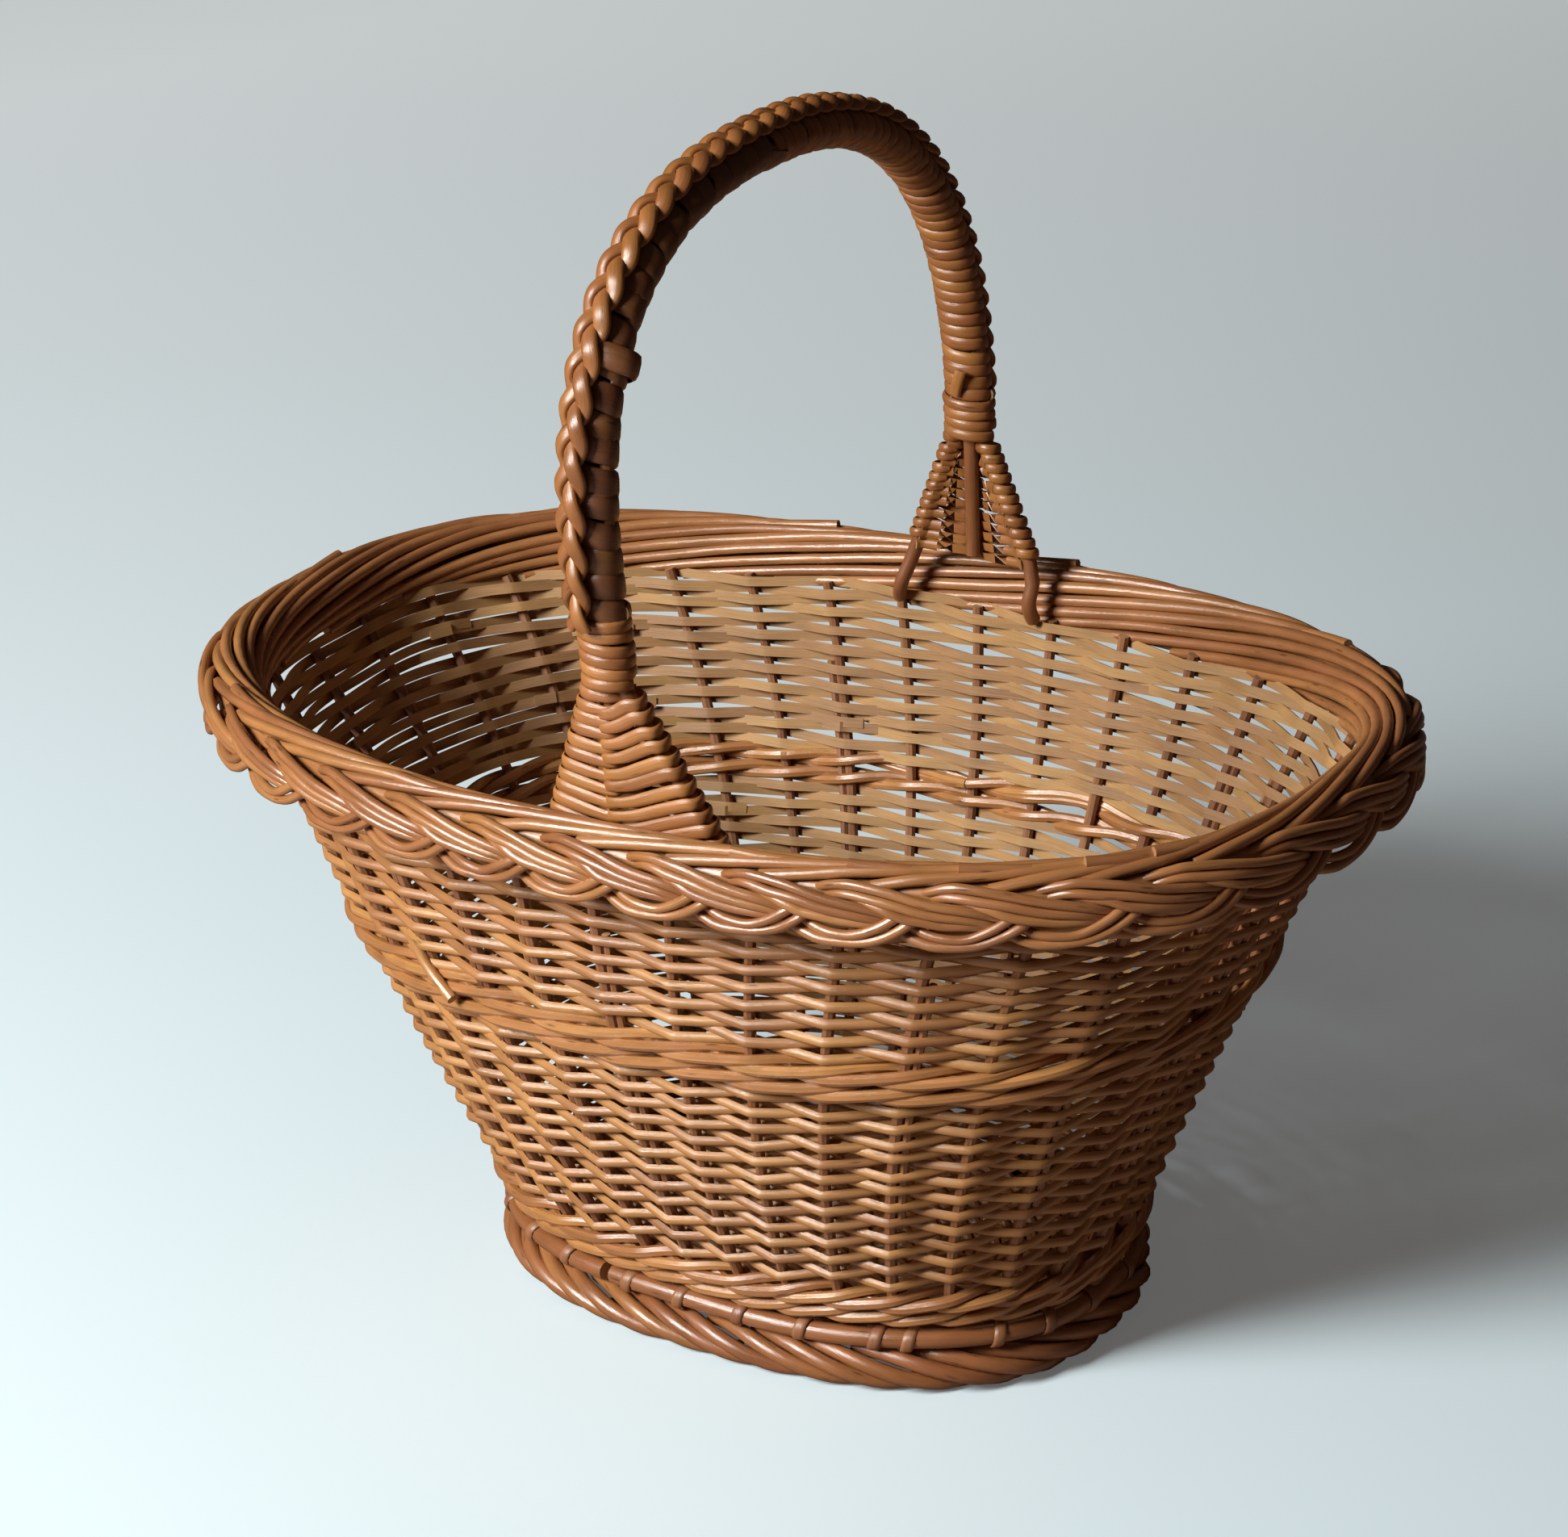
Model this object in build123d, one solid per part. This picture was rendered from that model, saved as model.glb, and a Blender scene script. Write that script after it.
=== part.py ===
"""Oval willow shopping basket with a fixed, skein-wrapped bow handle.

Millimetres, +Z up, +X along the length, +Y across it. The origin is on the floor,
under the middle of the basket. Every rod, weaver and skein is a solid of its own.
"""
import os
from math import cos, hypot, pi, sin, sqrt
from build123d import *

# Wall: the oval line of upright stakes, at its foot and under the border
stake_count = 34
wall_foot_z = 28.0
wall_foot_half_length = 116.5
wall_foot_half_width = 76.0
wall_head_z = 203.0
wall_head_half_length = 199.0
wall_head_half_width = 123.0
wall_side_bulge = 9.5
wall_end_hollow = 3.5
oval_power = 2.45
stake_radius = 2.4
stake_sides = 6
stake_bends = 8
stake_lower_end_z = 16.6

# Weavers: flat split rods that pass in front of one stake and behind the next
weaver_thickness = 2.0
lower_row_count = 11
upper_row_count = 6
row_gap = 0.6
weave_clearance = 0.8
weaver_end_gap = 6.0
first_end_stake = 12

# Wales: bands of round rods that pass in front of two stakes and behind one
wale_row_count = 3
wale_rod_height = 3.9
wale_rod_thickness = 2.6
middle_wale_z = 134.7

# Border: plaited strands turned over long rail rods
border_half_length = 213.0
border_half_width = 136.0
border_centre_z = 219.5
border_section_half_width = 11.5
border_section_half_height = 13.5
border_strand_radius = 3.4
border_strand_sides = 6
border_strand_reach = 1.7
strand_stations = 5
strand_first_turn = 0.95 * pi
strand_last_turn = -0.42 * pi
border_rail_width = 3.2
border_rail_height = 2.9
border_rail_gap = 0.4
border_rail_count = 3

# Foot: a rolled rim of short rods on the floor, with a hoop above it
foot_half_length = 116.0
foot_half_width = 76.5
foot_rod_count = 48
foot_rod_radius = 3.9
foot_roll_half_width = 4.8
foot_roll_half_height = 4.6
foot_rod_steps = [0.0, 0.45, 0.8, 1.18]
foot_rod_turns = [0.5 * pi, 0.05 * pi, -0.5 * pi, -0.5 * pi]
foot_rod_sides = 6
foot_flat_depth = 0.5
hoop_radius = 4.0
hoop_centre_z = 20.6
hoop_clearance = 0.4
hoop_sides = 6
lashing_count = 20
lashing_width = 3.0
lashing_bends = 5
lashing_turn = 1.1 * pi
lashing_thickness = 1.0
lashing_clearance = 0.7

# Base: split cross sticks with long sticks through them and paired weaving
base_centre_z = 13.2
cross_stick_count = 7
cross_stick_radius = 4.0
long_stick_count = 5
long_stick_radius = 2.0
long_stick_pitch = 9.0
base_weave_rows = 4
base_weaver_width = 6.0
base_weaver_height = 2.4
base_clearance = 0.3
base_stick_sides = 6
base_row_gap = 0.6
base_ring_steps = 24
cross_stick_end_room = 24.0

# Handle: three bow rods that splay into a fan at each foot
handle_shift = 7.0
handle_half_span = 119.0
handle_spring_z = 284.0
handle_crown_z = 421.0
handle_power = 2.44
bow_rod_radius = 2.75
side_rod_radius = 2.5
handle_rod_gap = 0.3
handle_rod_sides = 6
fan_left_reach = 23.0
fan_right_reach = 38.0
fan_foot_z = 214.0
collar_foot_z = 274.0
collar_head_z = 300.0
handle_tail = 26.0
tail_clearance = 0.1
arch_steps = 20
wound_steps = 120

# Skein: thin shaved willow that binds the handle
skein_thickness = 1.1
skein_clearance = 0.3
skein_loop_gap = 1.2
handle_loops = 24
collar_loops = 5
loop_sides = 8
fan_row_count = 8
fan_slack = 0.8
border_top_room = 22.0
loop_crown = 1.8
braid_width = 3.2
braid_swing = 3.2
braid_periods = 12
braid_clearance = 0.4
braid_level = 2.9

os.makedirs("parts", exist_ok=True)


def save(node, solids):
    """Write the solids of one node."""
    export_step(Compound(children=list(solids)), f"parts/{node}.step")


def unit(vector):
    return vector.normalized()


def quad(centre, across, up, half_across, half_up):
    """A rectangle of two half sizes, as a closed wire."""
    a = across * half_across
    b = up * half_up
    return Wire.make_polygon([centre + a + b, centre - a + b, centre - a - b, centre + a - b])


def ngon(centre, across, up, half_across, half_up, sides):
    """A polygon on an ellipse of two half axes, as a closed wire."""
    corners = []
    for k in range(sides):
        turn = 2 * pi * (k + 0.5) / sides
        corners.append(centre + across * (half_across * cos(turn)) + up * (half_up * sin(turn)))
    return Wire.make_polygon(corners)


def through(wires):
    """One solid with straight runs from section to section, its faces turned outwards."""
    solid = Solid.make_loft(wires, ruled=True)
    if solid.volume < 0:
        solid = Solid.make_loft(wires[::-1], ruled=True)
    return solid


def tangents(points):
    """The direction of a line of points at each of them."""
    last = len(points) - 1
    return [unit(points[min(i + 1, last)] - points[max(i - 1, 0)]) for i in range(last + 1)]


def rod(points, radius, sides, hint):
    """A rod along points; hint is a direction that its run is never parallel to."""
    wires = []
    for point, run in zip(points, tangents(points)):
        across = unit(run.cross(hint))
        wires.append(ngon(point, across, across.cross(run), radius, radius, sides))
    return through(wires)


def strip(points, faces, width, thickness):
    """A flat strip along points, with its broad side towards the direction in faces."""
    wires = []
    for point, run, face in zip(points, tangents(points), faces):
        across = unit(run.cross(face))
        wires.append(quad(point, across, across.cross(run), width / 2, thickness / 2))
    return through(wires)


def oval(half_length, half_width, count, offset=0.5, power=oval_power):
    """Points at even steps round an oval, with the outward direction at each."""
    samples = 1440
    line = []
    for k in range(samples + 1):
        turn = 2 * pi * k / samples
        c, s = cos(turn), sin(turn)
        x = half_length * abs(c) ** (2 / power) * (1 if c >= 0 else -1)
        y = half_width * abs(s) ** (2 / power) * (1 if s >= 0 else -1)
        line.append((x, y))
    walked = [0.0]
    for p, q in zip(line, line[1:]):
        walked.append(walked[-1] + hypot(q[0] - p[0], q[1] - p[1]))
    points, normals, k = [], [], 0
    for i in range(count):
        goal = walked[-1] * ((i + offset) % count) / count
        k = 0 if goal < walked[k] else k
        while walked[k + 1] < goal:
            k += 1
        share = (goal - walked[k]) / (walked[k + 1] - walked[k])
        p, q = line[k], line[k + 1]
        points.append(Vector(p[0] + (q[0] - p[0]) * share, p[1] + (q[1] - p[1]) * share, 0))
        normals.append(unit(Vector(q[1] - p[1], p[0] - q[0], 0)))
    return points, normals


def lifted(point, z):
    return Vector(point.X, point.Y, z)


# Stakes
foot_points, foot_normals = oval(wall_foot_half_length, wall_foot_half_width, stake_count)
head_points, head_normals = oval(wall_head_half_length, wall_head_half_width, stake_count)
wall_height = wall_head_z - wall_foot_z


def straight_half_sizes(z):
    """The half length and half width at a height, for a wall with straight stakes."""
    share = (z - wall_foot_z) / wall_height
    return (wall_foot_half_length + (wall_head_half_length - wall_foot_half_length) * share,
            wall_foot_half_width + (wall_head_half_width - wall_foot_half_width) * share)


def wall_half_sizes(z):
    """The half length and half width of the line of bent stakes at a height."""
    length, width = straight_half_sizes(z)
    share = (z - wall_foot_z) / wall_height
    bend = 4 * share * (1 - share)
    return length - wall_end_hollow * bend, width + wall_side_bulge * bend


def stake_point(i, z):
    """The centre of stake i at a height."""
    low = foot_points[i % stake_count]
    high = head_points[i % stake_count]
    straight = low + (high - low) * ((z - wall_foot_z) / wall_height)
    straight_length, straight_width = straight_half_sizes(z)
    length, width = wall_half_sizes(z)
    return Vector(straight.X * length / straight_length, straight.Y * width / straight_width, z)


def wall_normal(i):
    return unit(foot_normals[i % stake_count] + head_normals[i % stake_count])


def wall_rise(i, z):
    """The rise of the wall at stake i and a height, for each millimetre of height."""
    return stake_point(i, z + 0.5) - stake_point(i, z - 0.5)


# Each stake ends just under the border strand that starts above it
strand_rise = border_section_half_height - border_strand_radius
strand_start_z = border_centre_z + strand_rise * sin(strand_first_turn)
stake_upper_end_z = strand_start_z - border_strand_radius - weave_clearance / 2
stakes = []
for i in range(stake_count):
    route = []
    for k in range(stake_bends + 1):
        share = k / stake_bends
        route.append(stake_point(i, stake_lower_end_z + (stake_upper_end_z - stake_lower_end_z) * share))
    stakes.append(rod(route, stake_radius, stake_sides, wall_normal(i)))
save("stakes", stakes)

# The widest lean of the wall sets how far a leaning stake reaches sideways
steepest = (wall_head_half_length - wall_foot_half_length + 4 * wall_end_hollow) / wall_height
stake_reach = stake_radius * sqrt(1 + steepest ** 2)


def woven_ring(z, height, thickness, side_of, start):
    """A weaver round the wall; side_of(i) is 1 in front of stake i and -1 behind it."""
    swing = stake_reach + weave_clearance + thickness / 2
    wires = []
    for step in range(stake_count + 1):
        i = start + step
        normal = wall_normal(i)
        along = Vector(-normal.Y, normal.X, 0)
        nudge = {0: 1, stake_count: -1}.get(step, 0) * weaver_end_gap / 2
        centre = stake_point(i, z + height / 2) + normal * (swing * side_of(i)) + along * nudge
        rise = wall_rise(i, z + height / 2)
        facing = unit(normal - rise * (normal.dot(rise) / rise.dot(rise)))
        wires.append(quad(centre, facing, rise, thickness / 2, height / 2))
    return through(wires)


def plain_side(row):
    return lambda i: 1 if (i + row) % 2 else -1


def wale_side(row):
    return lambda i: -1 if (i % stake_count + row) % 3 == 0 else 1


def end_stake(row):
    """The stake behind which the two ends of a row meet, a few stakes on from row to row."""
    return first_end_stake + row % 2 + 2 * (row // 2 % 2)


def plain_section(node, low_z, high_z, rows):
    """Plain weave that fills the wall between two heights."""
    pitch = (high_z - low_z) / rows
    for row in range(rows):
        ring = woven_ring(low_z + pitch * row + row_gap / 2, pitch - row_gap,
                          weaver_thickness, plain_side(row), end_stake(row))
        save(f"{node}_{row + 1:02d}", [ring])


def wale_section(node, low_z):
    """A wale of three rods, one row above the other."""
    pitch = wale_rod_height + row_gap
    for row in range(wale_row_count):
        ring = woven_ring(low_z + pitch * row + row_gap / 2, wale_rod_height,
                          wale_rod_thickness, wale_side(row), first_end_stake + 3 * row + (-row) % 3)
        save(f"{node}_{row + 1}", [ring])


wale_height = wale_row_count * (wale_rod_height + row_gap)
wale_section("upsett_wale", wall_foot_z)
plain_section("lower_weaver", wall_foot_z + wale_height, middle_wale_z, lower_row_count)
wale_section("middle_wale", middle_wale_z)
plain_section("upper_weaver", middle_wale_z + wale_height, wall_head_z, upper_row_count)

# Border
border_points, border_normals = oval(border_half_length, border_half_width, stake_count)


def border_place(position, turn, half_width, half_height):
    """A point round the border's section; position counts stakes, turn 0 is outside."""
    i = int(position // 1)
    share = position - i
    p, q = border_points[i % stake_count], border_points[(i + 1) % stake_count]
    normal = unit(border_normals[i % stake_count] * (1 - share)
                  + border_normals[(i + 1) % stake_count] * share)
    middle = lifted(p + (q - p) * share, border_centre_z)
    return middle + normal * (half_width * cos(turn)) + Vector(0, 0, half_height * sin(turn))


border_strands = []
for i in range(stake_count):
    route = []
    for k in range(strand_stations):
        share = k / (strand_stations - 1)
        turn = strand_first_turn + (strand_last_turn - strand_first_turn) * share
        route.append(border_place(i + border_strand_reach * share, turn,
                                  border_section_half_width - border_strand_radius,
                                  strand_rise))
    border_strands.append(rod(route, border_strand_radius, border_strand_sides,
                              border_normals[i] + Vector(0, 0, 0.3)))
save("border_strands", border_strands)

for rail in range(border_rail_count):
    rise = (rail - (border_rail_count - 1) / 2) * (border_rail_height + border_rail_gap)
    wires = []
    for step in range(stake_count + 1):
        i = (rail * 11 + step) % stake_count
        normal = border_normals[i]
        along = Vector(-normal.Y, normal.X, 0)
        nudge = {0: 1, stake_count: -1}.get(step, 0) * weaver_end_gap / 2
        centre = lifted(border_points[i], border_centre_z + rise) + along * nudge
        wires.append(quad(centre, normal, Vector(0, 0, 1), border_rail_width / 2, border_rail_height / 2))
    save(f"border_rail_{rail + 1}", [through(wires)])

# Foot
foot_rods = []
foot_points_low, foot_normals_low = oval(foot_half_length, foot_half_width, foot_rod_count)
foot_sole = foot_rod_radius * cos(pi / foot_rod_sides) - foot_flat_depth
foot_centre_z = foot_roll_half_height + foot_sole


def foot_place(position, turn):
    """A point round the foot's roll; position counts foot rods, turn 0 is outside."""
    i = int(position // 1)
    share = position - i
    p, q = foot_points_low[i % foot_rod_count], foot_points_low[(i + 1) % foot_rod_count]
    normal = unit(foot_normals_low[i % foot_rod_count] * (1 - share)
                  + foot_normals_low[(i + 1) % foot_rod_count] * share)
    middle = lifted(p + (q - p) * share, foot_centre_z)
    return (middle + normal * (foot_roll_half_width * cos(turn))
            + Vector(0, 0, foot_roll_half_height * sin(turn)))


floor_cut = Box(3 * foot_half_length, 3 * foot_half_width, 2 * foot_rod_radius)
below_floor = Pos(0, 0, -foot_rod_radius) * floor_cut
for i in range(foot_rod_count):
    route = [foot_place(i + step, turn) for step, turn in zip(foot_rod_steps, foot_rod_turns)]
    whole = rod(route, foot_rod_radius, foot_rod_sides, foot_normals_low[i])
    foot_rods.append((whole - below_floor).solid())
save("foot_rods", foot_rods)


def ring_rod(half_length, half_width, z, section, steps):
    """A rod bent round an oval, with its two ends left a little apart."""
    points, normals = oval(half_length, half_width, steps)
    first = steps * first_end_stake // stake_count
    wires = []
    for step in range(steps + 1):
        i = (first + step) % steps
        along = Vector(-normals[i].Y, normals[i].X, 0)
        nudge = {0: 1, steps: -1}.get(step, 0) * weaver_end_gap / 2
        wires.append(section(lifted(points[i], z) + along * nudge, normals[i]))
    return through(wires)


# Hoop round the foot of the stakes, and its lashings
hoop_offset = stake_reach + hoop_clearance + hoop_radius
hoop_half_length, hoop_half_width = [half + hoop_offset for half in wall_half_sizes(hoop_centre_z)]


def hoop_section(centre, normal):
    return ngon(centre, normal, Vector(0, 0, 1), hoop_radius, hoop_radius, hoop_sides)


save("base_hoop", [ring_rod(hoop_half_length, hoop_half_width, hoop_centre_z, hoop_section, stake_count)])

lashings = []
lash_points, lash_normals = oval(hoop_half_length, hoop_half_width, lashing_count, offset=0.75)
lash_reach = hoop_radius + lashing_thickness / 2 + lashing_clearance
for point, normal in zip(lash_points, lash_normals):
    faces = []
    for k in range(lashing_bends):
        turn = lashing_turn * (k / (lashing_bends - 1) - 0.5)
        faces.append(normal * cos(turn) + Vector(0, 0, sin(turn)))
    route = [lifted(point, hoop_centre_z) + face * lash_reach for face in faces]
    lashings.append(strip(route, faces, lashing_width, lashing_thickness))
save("hoop_lashings", lashings)

# Base: cross sticks split for the long sticks, and rods paired over and under them
base_inset = stake_reach + base_clearance


def base_half_sizes(z):
    """The half sizes of what fits inside the stakes at a height."""
    return [half - base_inset for half in wall_half_sizes(z)]


base_half_length, base_half_width = base_half_sizes(base_centre_z)
cross_span = base_half_length - cross_stick_end_room
split = Pos(0, 0, base_centre_z) * Box(
    2 * base_half_length,
    (long_stick_count - 1) * long_stick_pitch + 2 * (long_stick_radius + base_clearance),
    2 * (long_stick_radius + base_clearance))
cross_sticks = []
for k in range(cross_stick_count):
    x = cross_span * (2 * k / (cross_stick_count - 1) - 1)
    reach = base_half_width * (1 - abs(x / base_half_length) ** oval_power) ** (1 / oval_power)
    half = reach - base_weaver_width / 2
    ends = [Vector(x, -half, base_centre_z), Vector(x, half, base_centre_z)]
    stick = rod(ends, cross_stick_radius, base_stick_sides, Vector(1, 0, 0))
    cross_sticks.append((stick - split).solid())
save("base_cross_sticks", cross_sticks)

long_sticks = []
for k in range(long_stick_count):
    y = long_stick_pitch * (k - (long_stick_count - 1) / 2)
    reach = base_half_length * (1 - abs(y / base_half_width) ** oval_power) ** (1 / oval_power)
    half = reach - base_clearance
    ends = [Vector(-half, y, base_centre_z), Vector(half, y, base_centre_z)]
    long_sticks.append(rod(ends, long_stick_radius, base_stick_sides, Vector(0, 1, 0)))
save("base_long_sticks", long_sticks)


def base_section(centre, normal):
    return quad(centre, normal, Vector(0, 0, 1), base_weaver_width / 2, base_weaver_height / 2)


base_lift = cross_stick_radius + base_clearance + base_weaver_height / 2
for node, lift in (("base_weave_upper", base_lift), ("base_weave_lower", -base_lift)):
    rings = []
    low_z = base_centre_z + lift - base_weaver_height / 2
    row_half_length, row_half_width = base_half_sizes(low_z)
    for row in range(base_weave_rows):
        inset = base_weaver_width / 2 + row * (base_weaver_width + base_row_gap)
        rings.append(ring_rod(row_half_length - inset, row_half_width - inset,
                              base_centre_z + lift, base_section, base_ring_steps))
    save(node, rings)

# Handle: the middle line of the bow, from the near foot to the far one
side_offset = bow_rod_radius + handle_rod_gap + side_rod_radius
weave_depth = stake_reach + weave_clearance + weaver_thickness
handle_rise = handle_crown_z - handle_spring_z


def leg_y(x, z):
    """How far a leg stands from the middle: close inside the wall at its foot, upright above."""
    if z >= collar_foot_z:
        return handle_half_span
    half_length, half_width = wall_half_sizes(z)
    wall_y = half_width * (1 - abs(x / half_length) ** oval_power) ** (1 / oval_power)
    inside = wall_y - weave_depth - side_rod_radius * cos(pi / handle_rod_sides) - tail_clearance
    return min(handle_half_span, inside) if z > fan_foot_z else inside


def arch_point(turn):
    """A point of the arch; turn runs from 0 at the near spring to pi at the far one."""
    c, s = -cos(turn), sin(turn)
    y = handle_half_span * abs(c) ** (2 / handle_power) * (1 if c >= 0 else -1)
    return Vector(handle_shift, y, handle_spring_z + handle_rise * s ** (2 / handle_power))


arch = [arch_point(pi * k / arch_steps) for k in range(arch_steps + 1)]
leg_heights = [fan_foot_z - handle_tail, fan_foot_z, fan_foot_z + border_top_room, collar_foot_z]


def handle_rod_line(side, near_reach, far_reach):
    """The line of a bow rod; its two reaches are where it splays to under the collars."""
    beside = side * side_offset
    line = [point + Vector(beside, 0, 0) for point in arch]
    for z in reversed(leg_heights):
        share = min((collar_foot_z - z) / (collar_foot_z - fan_foot_z), 1)
        near_x = handle_shift + beside + (near_reach - beside) * share
        far_x = handle_shift + beside + (far_reach - beside) * share
        line.insert(0, Vector(near_x, -leg_y(near_x, z), z))
        line.append(Vector(far_x, leg_y(far_x, z), z))
    return line


across_handle = Vector(1, 0, 0)
middle_line = handle_rod_line(0, 0, 0)[1:-1]
left_line = handle_rod_line(-1, -fan_left_reach, -fan_right_reach)
right_line = handle_rod_line(1, fan_right_reach, fan_left_reach)
save("handle_middle_rod", [rod(middle_line, bow_rod_radius, handle_rod_sides, across_handle)])
save("handle_left_rod", [rod(left_line, side_rod_radius, handle_rod_sides, across_handle)])
save("handle_right_rod", [rod(right_line, side_rod_radius, handle_rod_sides, across_handle)])

# The same line in fine steps, for what is wound and braided along it
wound_arch = [arch_point(pi * k / wound_steps) for k in range(wound_steps + 1)]
wound_line = [Vector(handle_shift, -handle_half_span, collar_foot_z)] + wound_arch
wound_line.append(Vector(handle_shift, handle_half_span, collar_foot_z))
wound_runs = tangents(wound_line)
wound_length = sum((q - p).length for p, q in zip(wound_line, wound_line[1:]))


def walk(distance):
    """The point and direction at a distance along the wound line."""
    for k in range(len(wound_line) - 1):
        step = wound_line[k + 1] - wound_line[k]
        if distance <= step.length:
            break
        distance -= step.length
    share = distance / step.length
    return wound_line[k] + step * share, unit(wound_runs[k] * (1 - share) + wound_runs[k + 1] * share)


# Skeins: a loop is a many-sided turn round the three rods
flat = cos(pi / loop_sides)
loop_half_width = (side_offset + side_rod_radius + skein_clearance + skein_thickness / 2) / flat
loop_half_height = (bow_rod_radius + skein_clearance + skein_thickness / 2) / flat + loop_crown


def winding(start, end, loops, name):
    """One unbroken skein wound round the handle rods between two distances."""
    pitch = (end - start) / loops
    width = pitch - skein_loop_gap
    wires, outlines = [], []
    for k in range(loops * loop_sides + 1):
        middle, run = walk(start + pitch * k / loop_sides)
        lift = across_handle.cross(run)
        turn = 2 * pi * (k + 0.5) / loop_sides
        face = unit(across_handle * (cos(turn) / loop_half_width) + lift * (sin(turn) / loop_half_height))
        place = (middle + across_handle * (loop_half_width * cos(turn))
                 + lift * (loop_half_height * sin(turn)))
        wires.append(quad(place, run, face, width / 2, skein_thickness / 2))
        outlines.append((place - run * (width / 2), place + run * (width / 2)))
    gaps = [(b[0] - a[1]).length for a, b in zip(outlines, outlines[loop_sides:])]
    print(f"{name}: least gap between loops {min(gaps):.2f} mm")
    return through(wires)


collar_length = collar_head_z - collar_foot_z
crown = wound_length / 2
spans = {
    "near_collar": (0.0, collar_length, collar_loops),
    "near_wrap": (collar_length + skein_loop_gap, crown - skein_loop_gap, handle_loops),
    "far_wrap": (crown + skein_loop_gap, wound_length - collar_length - skein_loop_gap, handle_loops),
    "far_collar": (wound_length - collar_length, wound_length, collar_loops),
}
for node, (start, end, loops) in spans.items():
    margin = (end - start) / loops / 2
    save(node, [winding(start + margin, end - margin, loops - 1, node)])

# Fan skeins: rows that pass in front of the splayed rods and behind them by turns
row_height = (collar_foot_z - fan_foot_z - border_top_room) / fan_row_count
row_out = across_handle * (side_rod_radius + fan_slack)
row_lift = bow_rod_radius + skein_clearance + skein_thickness / 2


def splayed(line, foot, share):
    """A point of a side rod in a fan; foot counts its point on the border, share the way up."""
    above = foot + 1 if foot > 0 else foot - 1
    return line[foot] + (line[above] - line[foot]) * share


for node, foot in (("near_fan_skein", 2), ("far_fan_skein", -3)):
    rise = splayed(left_line, foot, 1) - splayed(left_line, foot, 0)
    rows = []
    for row in range(fan_row_count):
        share = (row + 0.5) / fan_row_count
        front = unit(Vector(0, rise.Z, -rise.Y)) * (1 if row % 2 else -1)
        lift = front * row_lift
        ends = [splayed(left_line, foot, share) - row_out + lift,
                splayed(right_line, foot, share) + row_out + lift]
        rows.append(strip(ends, [front, front], row_height - skein_loop_gap, skein_thickness))
    save(node, rows)

# Braid: two skeins that cross to and fro along the outside of the bow
for node, side in (("braid_left_skein", -1), ("braid_right_skein", 1)):
    route, faces = [], []
    for k in range(4 * braid_periods + 1):
        share = k / (4 * braid_periods)
        phase = pi * k / 2
        middle, run = walk(collar_length + (wound_length - 2 * collar_length) * share)
        lift = unit(across_handle.cross(run))
        level = 0.5 + 0.5 * side * sin(phase)
        height = loop_half_height * flat + skein_thickness + braid_clearance + braid_level * level
        route.append(middle + across_handle * (side * braid_swing * cos(phase)) + lift * height)
        faces.append(lift)
    save(node, [strip(route, faces, braid_width, skein_thickness)])
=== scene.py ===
"""Dress an oval willow basket: every stake, weaver, rod and skein is swept along its own line."""
import math

import bpy
import numpy as np
from mathutils import Matrix, Vector


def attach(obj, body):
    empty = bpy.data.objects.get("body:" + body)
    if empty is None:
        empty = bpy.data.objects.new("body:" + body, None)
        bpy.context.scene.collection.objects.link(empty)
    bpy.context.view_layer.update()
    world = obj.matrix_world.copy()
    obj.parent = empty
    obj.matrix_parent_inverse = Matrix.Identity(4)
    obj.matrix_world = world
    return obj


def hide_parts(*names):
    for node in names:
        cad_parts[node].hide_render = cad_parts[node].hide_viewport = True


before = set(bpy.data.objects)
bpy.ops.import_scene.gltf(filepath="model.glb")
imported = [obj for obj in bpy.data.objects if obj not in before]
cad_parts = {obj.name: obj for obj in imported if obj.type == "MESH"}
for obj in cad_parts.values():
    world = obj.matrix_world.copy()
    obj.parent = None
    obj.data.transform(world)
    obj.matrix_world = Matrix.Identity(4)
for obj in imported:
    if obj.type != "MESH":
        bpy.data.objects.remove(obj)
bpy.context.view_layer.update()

bl_info = {
    "name": "Willow Basket",
    "version": (1, 0, 0),
    "blender": (4, 5, 0),
    "location": "View3D > Sidebar > Basket",
    "description": "Builds an oval willow basket with a plaited border and a wrapped bow handle",
    "category": "Add Mesh",
}


def length(name, default, description):
    """A length that a user may change, in metres."""
    return bpy.props.FloatProperty(name=name, description=description, default=default,
                                   min=0.0, precision=5, subtype="DISTANCE", unit="LENGTH")


def count(name, default, description):
    """A number of like pieces."""
    return bpy.props.IntProperty(name=name, description=description, default=default, min=1)


def amount(name, default, description):
    """A plain factor."""
    return bpy.props.FloatProperty(name=name, description=description, default=default)


def colour(name, default, description):
    """A surface colour, as linear light."""
    return bpy.props.FloatVectorProperty(name=name, description=description, default=default,
                                         size=3, min=0.0, max=1.0, subtype="COLOR")


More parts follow.
